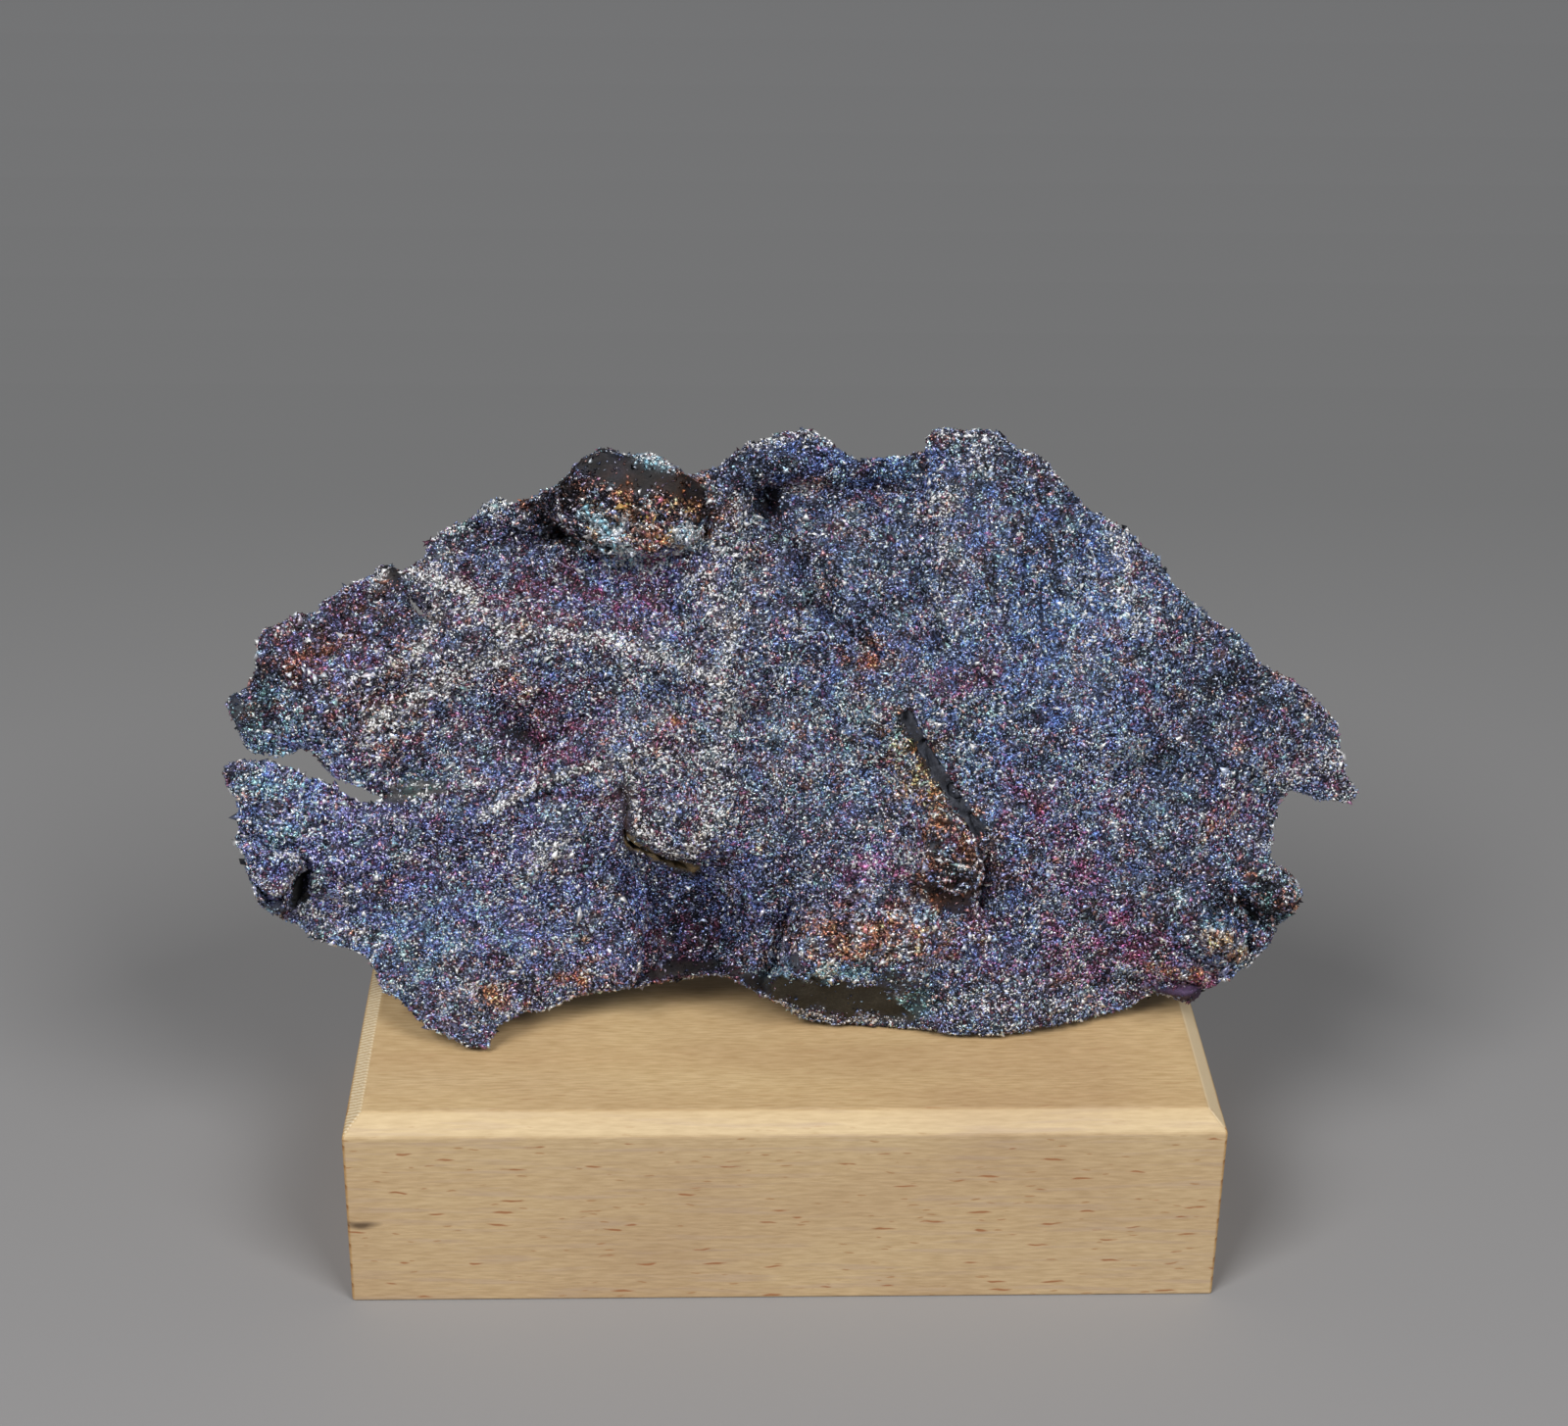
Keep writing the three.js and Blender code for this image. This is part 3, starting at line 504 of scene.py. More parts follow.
def striae(uv):
    """How far each place is on a stria (above zero) or between two (below zero), from -1 to 1."""
    marks = np.zeros(len(uv))
    for seed, (u, v, ru, rv, run, marked) in enumerate(STRIAE):
        near = marked * hill(uv, u, v, ru, rv)
        rows = near > 0.03
        c, s = math.cos(math.radians(run)), math.sin(math.radians(run))
        du, dv = (uv[rows] - (u, v)).T
        drawn = np.column_stack([(du * c + dv * s) / STRIAE_RUN, (dv * c - du * s) / STRIAE_GAP, 0.0 * du])
        marks[rows] += near[rows] * rough(drawn, 1.0, 60 + seed, 2)
    return marks


def step_relief(uv, rise, rise_reach, drop, drop_reach, wall, line):
    """One step's relief, fading round its ends."""
    gap, turn, _ = nearest(uv, line)
    across = gap * turn
    high = rise * np.exp(-np.maximum(across - wall / 2, 0.0) / rise_reach)
    low = -drop * np.exp(-(np.minimum(across + wall / 2, 0.0) / drop_reach) ** 2)
    share = smooth_step(-wall / 2, wall / 2, across)
    return turn ** 2 * (low + share * (high - low))


def front_detail(uv):
    """The front's finer relief in mm."""
    relief = np.zeros(len(uv))
    for height, half_width, line in RIDGES:
        relief += height * band(uv, line, half_width)
    for depth, half_width, line in CREASES:
        relief -= depth * band(uv, line, half_width)
    for step in STEPS:
        relief += step_relief(uv, *step)
    for u, v, ru, rv, turn, depth in HOLLOWS:
        relief -= depth * hill(uv, u, v, ru, rv, turn)
    for height, rounding, outline in KNOBS:
        relief += height * np.sqrt(np.clip(depth_inside(uv, outline) / rounding, 0.0, 1.0))
    return relief


def brow_faces(uv, depth):
    """The depth with the brow's flat faces cut into it."""
    u, v = uv.T
    inside = depth_inside(uv, BROW)
    faces = depth + BROW_SIDE_SLOPE * inside
    for height, middle, slope_u, slope_v in BROW_PLANES:
        faces = np.minimum(faces, height + slope_u * (u - middle) + slope_v * (v - BROW_MIDDLE))
    return depth + smooth_step(-0.1, 0.5, inside) * (faces - depth)


def ledge_underside(uv, depth):
    """The depth with the ledge's hanging underside cut into it."""
    u, v = uv.T
    underside = UNDERSIDE_DEPTH + UNDERSIDE_SLOPE * (v - UNDERSIDE_FOOT)
    underside += UNDERSIDE_WAVE * np.sin(UNDERSIDE_WAVES_PER_MM * u)
    return depth + smooth_step(-0.3, 0.4, depth_inside(uv, OVERHANG)) * (underside - depth)


def shape_ore():
    """The ore's skin as an object, with its sheet places and, for each vertex, how much it is front."""
    skin = bare_copy("peacock_ore", "ore_sheet")
    solid = to_sheet(numbers(skin.data.vertices, "co", 3).astype(float) / MM)
    solid = from_sheet(move_slots(solid, True))
    store(skin.data.vertices, "co", solid * MM)
    skin.data.update()
    remesh = skin.modifiers.new("even skin", "REMESH")
    remesh.mode = "VOXEL"
    remesh.voxel_size = SKIN_VOXEL
    depsgraph = bpy.context.evaluated_depsgraph_get()
    mesh = bpy.data.meshes.new_from_object(skin.evaluated_get(depsgraph))
    skin.modifiers.clear()
    skin.data = mesh
    mesh.name = "ore_sheet"

    places = numbers(mesh.vertices, "co", 3).astype(float) / MM
    normals = numbers(mesh.vertices, "normal", 3).astype(float)
    edges = numbers(mesh.edges, "vertices", 2, np.int32)
    sheet = move_slots(to_sheet(places), False)
    outwards = RELIEF_FOCUS - places
    outwards /= np.linalg.norm(outwards, axis=1)[:, None]
    lean = (normals * outwards).sum(1)
    ends = np.concatenate([edges, edges[:, ::-1]])
    neighbours = np.maximum(np.bincount(ends[:, 0], minlength=len(sheet)), 1)

    def eased(values, passes, share):
        for _ in range(passes):
            mean = np.bincount(ends[:, 0], values[ends[:, 1]], len(values)) / neighbours
            values = values + share * (mean - values)
        return values

    uv = sheet[:, :2]
    facing = smooth_step(0.3, 0.7, np.abs(lean))
    side = eased(lean, SIDE_SOFTENING, SOFTENING_SHARE)
    front = smooth_step(-0.15, 0.25, side)
    # The crack slants up to the left through the crust, so its lower wall shows from the front.
    slanted = band(uv, CRACK, CRACK_SLANT_REACH) * (1.0 - smooth_step(-0.5, 0.6, side))
    uv += slanted[:, None] * CRACK_SLANT
    depth = eased(sheet[:, 2], FACET_SOFTENING, SOFTENING_SHARE * facing)
    near_slit = smooth_step(3.2, 1.6, nearest(uv, SLIT)[0]) * facing
    depth = eased(depth, SLIT_SOFTENING, SOFTENING_SHARE * near_slit)
    for u, v, ru, rv, forward in SWELLS:
        depth += forward * hill(uv, u, v, ru, rv)
    depth -= ARCH_BACKING_DEPTH * (1.0 - front) * hill(uv, *ARCH_BACKING)
    over = np.maximum(depth - RELIEF_LIMIT, 0.0)
    depth -= (1.0 - OVER_LIMIT_SHARE) * over
    bare, bare_tint = bareness(uv, front, places)
    crumpled = 1.0 - FAN_CALM * hill(uv, *FAN)
    for size, height, seed in CRUMPLING:
        depth += facing * crumpled * height * rough(places, size, seed)
    # The finer relief is weaker on the back; the brow and the ledge's underside are cut last.
    depth += facing * (STRIAE_HEIGHT * striae(uv) + front_detail(uv) * (0.6 + 0.4 * front))
    depth += (front > 0.5) * facing * (brow_faces(uv, depth) - depth)
    depth += smooth_step(-0.4, -0.1, side) * (ledge_underside(uv, depth) - depth)
    grit = GRIT_HEIGHT * crumpled * rough(places, GRIT_SIZE, seed=3) * (1.0 - 0.7 * bare)
    depth += facing * np.sign(side) * grit
    sheet[:, 2] = depth
    # The rim is smoothed along its run and then made ragged.
    ragged = 1.0 - facing
    for axis in (0, 1):
        sheet[:, axis] = eased(sheet[:, axis], RIM_SOFTENING, RIM_SOFTENING_SHARE * ragged)
        for (size, height, octaves), seed in ((RIM_NOTCHES, 5 + axis), (RIM_NICKS, 7 + axis)):
            sheet[:, axis] += ragged * height * rough(places, size, seed, octaves)
    low, high = (np.array(corner) / MM for corner in cad_bounds)
    places = np.clip(from_sheet(sheet), low + BOX_GAP, high - BOX_GAP)
    over_block = (np.abs(places[:, :2]) < (HALF_LENGTH / MM, HALF_DEPTH / MM)).all(1)
    places[over_block, 2] = np.maximum(places[over_block, 2], BLOCK_HEIGHT / MM + BLOCK_GAP)
    store(mesh.vertices, "co", places * MM)
    mesh.update()
    return skin, places, sheet, front, bare, bare_tint


# The crust's own colours, seen where few crystals grew, and a black that is painted shade in hollows and
# gaps.
BARE_TINTS = {"umber": "#1f1914", "olive": "#37362f", "slate": "#474a54", "bronze": "#83704f",
              "painted_shade_black": "#0a0a0c", "plum": "#523e5c", "grey": "#44464c", "rust": "#3d2518"}
# The bays in the edge of a bare place: their size and depth in mm.
BARE_EDGE_SIZE = 1.7
BARE_EDGE_DEPTH = 0.9
# Smooth places: how bare, the tint and the outline. Those in black are painted shade in hollows, pits and
# gaps:
# the curled flap's tube, the pit and the gaps by the brow and between the knobs.
SMOOTH_OUTLINES = [
    (0.98, "olive", [(-2.2, 5.4), (-0.3, 6.5), (3.9, 6.1), (5.6, 5.5), (10.5, 5.2), (12.5, 4.3), (14.9, 2.9),
                     (16.6, 1.2), (16.2, 0.5), (12.2, 1.0), (8.0, 1.2), (4.7, 1.8), (1.0, 2.6), (-0.7, 3.9)]),
    (0.7, "slate", [(10.5, 5.2), (11.0, 6.4), (12.6, 7.0), (15.6, 6.9), (17.4, 6.2), (16.8, 3.0), (16.6, 1.2),
                    (14.9, 2.9), (12.5, 4.3)]),
    (0.9, "umber", [(-17.7, 5.0), (-17.2, 7.0), (-12.7, 8.2), (-9.0, 8.4), (-6.0, 7.9), (-3.4, 6.6),
                    (-0.3, 6.5), (-0.7, 3.2), (-2.4, 4.2), (-5.0, 5.6), (-7.6, 7.2), (-9.0, 7.3),
                    (-12.7, 6.9), (-16.7, 5.9)]),
    (0.9, "slate", [(1.0, 9.5), (1.9, 9.5), (2.2, 8.5), (1.9, 7.1), (1.1, 7.4), (0.8, 8.5)]),
    (0.86, "umber", [(-28.4, 65.8), (-26.4, 64.9), (-25.1, 65.5), (-23.8, 67.0), (-22.2, 67.0), (-20.7, 65.6),
                     (-19.3, 65.4), (-17.9, 64.8), (-16.6, 64.4), (-14.3, 64.9), (-12.9, 64.3),
                     (-12.2, 63.5), (-10.1, 63.6), (-8.8, 64.5), (-10.1, 66.0), (-10.3, 67.6),
                     (-13.0, 67.0), (-14.3, 67.3), (-15.8, 67.6), (-16.9, 68.3), (-17.6, 71.0),
                     (-21.2, 72.5), (-25.5, 69.8)]),
    (0.8, "rust", [(15.6, 18.2), (18.1, 18.1), (19.5, 18.3), (22.6, 18.9), (22.9, 17.3), (22.5, 15.2),
                     (20.3, 14.0), (18.0, 15.2), (16.6, 16.7)]),
    (0.9, "slate", [(16.3, 22.3), (17.2, 23.3), (18.2, 22.9), (17.8, 22.3), (16.7, 22.1)]),
    (1.0, "painted_shade_black", [(-56.6, 21.2), (-55.6, 19.8), (-55.7, 18.0), (-56.5, 16.2), (-57.6, 15.1), (-58.5, 15.9),
                    (-58.5, 17.1), (-58.0, 18.3), (-56.8, 19.5)]),
    (0.9, "slate", [(-62.9, 18.3), (-61.2, 16.8), (-60.6, 15.9), (-58.3, 15.8), (-58.2, 14.2), (-60.7, 14.4),
                    (-62.2, 16.4)]),
    (1.0, "painted_shade_black", [(-62.7, 18.8), (-61.3, 17.3), (-60.5, 16.5), (-58.7, 16.6), (-58.5, 15.9), (-60.7, 15.8),
                    (-61.7, 16.6), (-62.9, 18.1)]),
    (0.95, "plum", [(45.0, 5.1), (50.6, 4.9), (51.2, 3.0), (48.0, 2.2), (45.0, 3.0)]),
    (0.9, "grey", [(55.6, 15.0), (57.5, 15.2), (59.6, 14.4), (59.2, 13.4), (58.7, 13.2), (57.6, 13.7)]),
    (0.95, "painted_shade_black", [(54.4, 15.3), (55.4, 15.0), (57.6, 13.2), (57.2, 12.4), (55.6, 13.6)]),
    (0.7, "painted_shade_black", [(-4.8, 65.2), (-2.0, 65.6), (-0.6, 64.4), (-0.8, 61.8), (-2.8, 61.2), (-4.4, 63.2)]),
    (0.9, "painted_shade_black", [(-10.0, 61.4), (-8.9, 61.2), (-8.5, 59.0), (-10.0, 59.6)]),
    (0.8, "painted_shade_black", [(-29.4, 60.8), (-27.0, 61.6), (-24.6, 60.4), (-22.6, 58.4), (-24.6, 58.4),
                    (-27.6, 59.4)]),
    (0.7, "umber", [(-33.4, 36.9), (-31.6, 37.2), (-29.6, 35.4), (-30.4, 34.8), (-32.6, 35.6)]),
    (0.7, "olive", [(-47.2, 29.9), (-44.0, 30.9), (-40.8, 30.3), (-40.6, 28.8), (-44.0, 27.9),
                    (-46.6, 28.2)]),
    (0.85, "painted_shade_black", [(-47.0, 56.0), (-45.6, 56.4), (-44.0, 54.6), (-44.4, 53.2), (-45.8, 54.2)]),
    (0.7, "grey", [(-65.0, 41.4), (-63.4, 41.0), (-62.8, 38.6), (-63.4, 36.4), (-64.6, 37.0)]),
]


def bareness(uv, front, points):
    """How bare each place is of crystals, from 0 to 1, and its bare tint."""
    ragged = BARE_EDGE_DEPTH * rough(points, BARE_EDGE_SIZE, seed=50)
    slit_gap, turn, _ = nearest(uv, SLIT)
    places = [(smooth_step(0.5, 0.85, turn ** 2) * smooth_step(1.05, 0.75, slit_gap), "slate"),
              (smooth_step(0.4, 0.2, nearest(uv, CRACK[:3])[0]), "rust"),
              (smooth_step(0.65, 0.35, nearest(uv, CRACK[2:])[0] + 0.3 * ragged), "bronze")]
    for most, tint, outline in SMOOTH_OUTLINES:
        places.append((most * smooth_step(-0.35, 0.35, depth_inside(uv, outline) + ragged), tint))
    shares = np.array([share for share, _ in places])
    tints = np.array([linear(BARE_TINTS[tint]) for _, tint in places])
    return shares.max(0) * smooth_step(0.02, 0.25, front), tints[shares.argmax(0)]


ore_skin, skin_places, skin_sheet, skin_front, skin_bare, skin_bare_tint = shape_ore()


# Tarnish: the thin film that gives the ore its peacock colours. Each crystal takes one tint, drawn by the
# mix of tints where it grew; the mixes are blotches, as the film's thickness drifts over the crust.
TINTS = {
    "steel": "#7e8aa8", "slate": "#565f7a", "blue": "#5d7bb5", "violet": "#7e73a8", "cyan": "#9bcadb",
    "silver": "#dde2ea", "magenta": "#8e466f", "wine": "#6e3040", "orange": "#c27446", "gold": "#c6a264",
    "green": "#66a292", "dark": "#20222b", "brown": "#54392a", "dust": "#cdc7c1",
}
LUMINANCE = np.array([0.2126, 0.7152, 0.0722])
BASE_MIX = {"steel": 0.27, "slate": 0.17, "blue": 0.12, "violet": 0.05, "cyan": 0.085, "silver": 0.065,
            "magenta": 0.022, "wine": 0.07, "orange": 0.04, "gold": 0.012, "green": 0.026, "brown": 0.03,
            "dark": 0.11}
# Tints that come in clumps together, and how strongly.
CLUMPS = [(["blue", "violet"], 2.8), (["cyan", "silver", "green"], 2.2), (["orange", "gold", "brown"], 3.0),
          (["magenta", "wine"], 2.6), (["dark", "slate"], 2.2)]
# The sizes in mm of these clumps, of the drifts of dust and of the light and dark clouds.
CLUMP_SIZE = 2.0
DRIFT_SIZE = 1.8
TONE_SIZE = 2.4
# How far the magenta and wine, and the tone, follow the striae.
STRIAE_TINT = 4.0
STRIAE_TONE = 0.9
# Blotches: u, v, two radii, turn, and what each adds to the mix.
BLOTCHES = [
    (28, 45, 18, 22, 0, {"blue": 0.2, "steel": 0.15, "cyan": 0.05}),
    (34, 54, 8, 9, 0, {"blue": 0.2, "cyan": 0.12}),
    (-40, 18, 20, 10, 0, {"violet": 0.4, "blue": 0.25, "wine": 0.04}),
    (-13, 28, 6, 6, 0, {"wine": 0.2, "magenta": 0.06}),
    (-58, 29, 6, 5, 0, {"blue": 0.5, "cyan": 0.2, "violet": 0.3}),
    (-60.5, 29.5, 2.0, 1.2, 0, {"cyan": 1.2}),
    (-58, 25, 3.5, 2.0, 0, {"cyan": 0.9}),
    (-44, 11, 8, 4, 0, {"cyan": 0.4, "blue": 0.3}),
    (-52, 24, 6, 6, 0, {"violet": 0.6}),
    (37, 11, 10, 5, -12, {"magenta": 0.25}),
    (29.6, 27, 5.0, 2.0, -45, {"magenta": 0.4, "orange": 0.1}),
    (35.5, 20, 5.5, 2.2, -54, {"magenta": 0.42}),
    (43, 10.5, 6.5, 2.6, -49, {"magenta": 0.45, "wine": 0.15}),
    (22, 10, 5, 4, 0, {"blue": 0.3, "magenta": 0.12, "violet": 0.15}),
    (12, 20, 4, 2.4, 0, {"magenta": 0.65}),
    (20.6, 42, 3, 2, 0, {"magenta": 0.5, "wine": 0.2}),
    (-16, 53, 8, 5, 0, {"wine": 0.4, "violet": 0.25, "blue": 0.2}),
    (-27.5, 36.5, 6, 4.5, 0, {"wine": 0.45, "magenta": 0.2}),
    (-30, 52, 8, 4, 0, {"wine": 0.3, "magenta": 0.15}),
    (-16.2, 62.6, 5.8, 2.4, 0, {"gold": 0.7, "orange": 1.3, "brown": 1.4, "cyan": 0.4, "dark": 0.6}),
    (-17, 59.6, 6, 1.4, 0, {"orange": 0.6, "gold": 0.5, "silver": 0.9, "blue": 0.5, "wine": 0.4,
                            "dark": 0.3}),
    (-20.4, 60.2, 2.6, 1.5, -40, {"cyan": 4.0, "silver": 5.0}),
    (-11.3, 59.8, 1.4, 1.2, 0, {"cyan": 4.0, "silver": 3.0}),
    (-15.2, 68.3, 1.6, 0.9, -15, {"cyan": 6.0, "silver": 4.0}),
    (-26, 64.4, 3.0, 3.2, 0, {"dark": 1.2, "slate": 0.3, "brown": 0.7, "orange": 0.2}),
    (-51, 46, 8, 8, 0, {"wine": 0.28, "violet": 0.2, "orange": 0.16, "brown": 0.2}),
    (-55.8, 45.4, 3, 2, 0, {"orange": 0.5, "brown": 0.3}),
    (-47.6, 36.0, 2.2, 1.6, 0, {"orange": 0.5}),
    (-60, 37, 4, 5, 0, {"slate": 0.4, "cyan": 0.2, "green": 0.2}),
    (15.3, 33, 1.8, 5, 28, {"gold": 1.5, "green": 0.6, "orange": 0.4, "brown": 0.5}),
    (20, 23.5, 3.4, 4.5, 20, {"gold": 0.25, "orange": 0.7, "brown": 1.0, "cyan": 0.3, "wine": 0.2}),
    (21, 19, 3.8, 2.4, 0, {"brown": 1.6, "dark": 0.6, "orange": 0.3}),
    (49.5, 5.2, 3.4, 1.2, -20, {"magenta": 1.6, "wine": 0.6}),
    (11.0, 11.2, 8.0, 2.5, 0, {"gold": 0.4, "orange": 1.0, "brown": 0.8, "wine": 0.2, "silver": 0.3}),
    (17.5, 13.2, 3.0, 1.4, 0, {"cyan": 0.8, "blue": 0.5, "silver": 0.4}),
    (-13.5, 66.2, 4, 1.8, 0, {"orange": 1.2, "brown": 1.0}),
    (18.5, 17.5, 4, 2.5, 0, {"orange": 0.6, "brown": 1.2}),
    (7, 7, 8, 1.3, 0, {"cyan": 1.0, "blue": 0.4}),
    (16.0, 3.0, 1.6, 1.6, 0, {"cyan": 1.5, "green": 0.8}),
    (10.2, 45.4, 3, 1.6, 0, {"orange": 0.8, "brown": 0.5}),
    (-13.8, 37.2, 2, 1.2, 0, {"orange": 0.8}),
    (-31.5, 41.9, 2.6, 1.4, 0, {"orange": 0.7}),
    (-25.0, 5.9, 2.4, 1.2, 0, {"orange": 0.6}),
    (52, 25.5, 1.6, 1.2, 0, {"orange": 0.9}),
    (58.5, 16, 4, 3, 0, {"orange": 0.4, "dark": 1.0, "green": 0.3, "cyan": 0.2}),
    (61.8, 14.9, 1.4, 1.0, 0, {"orange": 1.4}),
    (52.8, 10.4, 2.4, 0.9, -25, {"gold": 1.6, "orange": 0.8, "silver": 0.8, "dust": 0.4}),
    (52.2, 12.8, 1.8, 0.9, -10, {"blue": 1.2, "cyan": 0.8}),
    (48.4, 6.2, 2.8, 0.8, -15, {"orange": 1.6, "gold": 0.8, "silver": 0.4}),
    (-35, 4.5, 4, 2, 0, {"orange": 0.4, "gold": 0.2}),
    (-19, 8, 3, 5, 0, {"orange": 0.2, "blue": 0.4}),
    # The recess under the valley takes more wine and dark crystals: painted shade as well as the film's
    # colour.
    (-12, 10, 4.5, 4, 0, {"wine": 1.3, "dark": 0.8}),
    (-10, 16, 8, 5, 0, {"blue": 0.6, "violet": 0.4, "dark": 0.4}),
    (0, 32, 16, 10, 0, {"cyan": 0.06, "wine": 0.06, "green": 0.03}),
    (6, 68, 10, 3, 0, {"blue": 0.4, "dark": 0.4, "violet": 0.15}),
    (13, 67.5, 3.5, 1.3, 0, {"blue": 1.1, "cyan": 0.3}),
    (1.8, 65.4, 2.0, 0.7, 0, {"orange": 1.0, "silver": 1.2}),
    (14, 56, 10, 8, 0, {"slate": 0.2, "dark": 0.1}),
    (29, 58, 4, 8, 0, {"dark": 0.35}),
    (50, 42, 8, 6, -40, {"dark": 0.2, "slate": 0.25}),
    (-43.8, 29.5, 3.4, 1.3, 0, {"dark": 1.0, "green": 0.6, "steel": 0.4}),
]
BACK_BLOTCHES = [
    (-42, 44, 16, 12, 0, {"wine": 0.3, "violet": 0.25}), (12, 52, 20, 14, -20, {"blue": 0.3, "cyan": 0.1}),
    (34, 20, 15, 9, -30, {"magenta": 0.2, "wine": 0.2}), (-12, 22, 14, 9, 15, {"dark": 0.3, "slate": 0.3}),
    (-46, 18, 12, 7, 0, {"cyan": 0.3, "blue": 0.2}), (-14, 58, 9, 6, 30, {"orange": 0.35, "brown": 0.3}),
    (50, 38, 10, 6, -40, {"green": 0.2, "steel": 0.3}), (10, 10, 9, 4, 0, {"orange": 0.3, "gold": 0.1}),
]
# Dust: where the bloom of pale dust has settled, as lines with a half width in mm and a strength.
DUST_LINES = [
    (1.0, 0.8, [(-47.1, 54.6), (-43.7, 55.8), (-40.3, 54.4), (-36.4, 52.9), (-33.1, 48.6), (-30.8, 47.9),
                (-26.3, 48.0), (-20.6, 47.4), (-16.1, 46.0), (-11.5, 44.2), (-7.0, 42.1)]),
    (1.0, 0.85, [(-40.3, 55.2), (-40.1, 51.8), (-41.0, 48.3), (-42.8, 45.6)]),
    (0.7, 0.5, [(-41.0, 59.4), (-37.4, 61.7), (-33.0, 63.7)]),
    (0.9, 0.4, [(-57.9, 15.6), (-52.8, 12.9), (-47.6, 10.9)]),
    (1.2, 0.6, [(-7.0, 42.1), (-6.0, 38.4), (-7.7, 33.6), (-8.6, 30.1), (-9.1, 25.3)]),
    (1.0, 0.8, [(-9.1, 25.3), (-10.2, 22.7), (-12.0, 21.3), (-13.9, 21.6)]),
    (0.7, 0.6, [(-18.4, 33.4), (-13.8, 33.4), (-7.5, 33.6)]),
    (0.8, 0.75, [(-18.4, 33.1), (-17.9, 27.7), (-16.4, 24.0), (-13.9, 21.9)]),
    (0.6, 1.0, [(-35.8, 26.3), (-31.1, 28.7), (-26.5, 31.0), (-21.9, 32.5)]),
    (0.8, 0.8, [(-29.5, 19.3), (-27.7, 22.3), (-24.8, 24.1)]),
    (1.2, 0.55, [(-10.4, 54.7), (-8.1, 55.8), (-8.7, 51.8), (-6.4, 47.7), (-7.0, 42.1)]),
    (1.1, 0.45, [(-5.6, 63.0), (-4.7, 57.0), (-5.3, 53.5), (-6.4, 47.7)]),
    (0.5, 0.6, [(-1.0, 3.2), (3.0, 1.6), (7.0, 0.9), (11.0, 0.8), (15.5, 1.0)]),
    (2.4, 0.25, [(-6, 60), (-7, 42), (-8, 27)]),
    (2.2, 0.2, [(-40, 52), (-26, 48.6), (-12, 44.4)]),
    (0.3, 0.9, [(-46.5, 29.9), (-43.5, 30.2), (-41.0, 30.0)]),
    (0.35, 0.9, [(-46.0, 28.5), (-43.5, 28.6), (-40.0, 29.2), (-35.0, 30.4)]),
    (0.35, 0.55, [(-62.2, 18.9), (-61.4, 18.2), (-60.5, 17.2), (-59.3, 16.9), (-58.9, 17.8), (-58.0, 19.0),
                 (-57.0, 19.9), (-56.8, 20.8), (-57.8, 21.4), (-59.9, 21.6)]),
    (0.35, 0.8, [(-54.3, 16.3), (-52.6, 15.9), (-51.1, 15.5)]),
    (0.8, 0.25, [(-53, 41), (-45, 44), (-37.5, 46)]),
    (1.6, 0.7, [(-48.0, 37.2), (-43.5, 40.3), (-37.7, 43.3), (-33.2, 45.6), (-29.7, 48.9)]),
    (1.8, 0.4, [(38.4, 60.5), (39.8, 53.5), (41.1, 48.9)]),
    (1.4, 0.3, [(34.6, 54.7), (35.3, 48.9), (35.0, 46.0)]),
    (2.0, 0.25, [(18, 66), (18, 58), (19, 50)]),
    (0.7, 0.65, [(-5, 69.8), (3, 71.9), (9, 68.6)]),
    (0.7, 0.3, [(18, 71.4), (26, 70.6), (32, 66.6)]),
]
DUST_PATCHES = [
    (-28, 21.5, 2.6, 2.4, 0.5), (-40, 55, 2.4, 3, 0.5), (-7, 54, 2.6, 4, 0.3), (-17, 33, 5, 4, 0.2),
    (-14, 28, 4, 5, 0.2), (28, 3, 6, 2, 0.25), (66, 32, 5, 2, 0.4), (22, 69, 1.6, 1.6, 0.5),
]
DUST_SHARE = 0.8
RIM_DUST = 0.24
TONE_SPREAD = 0.55
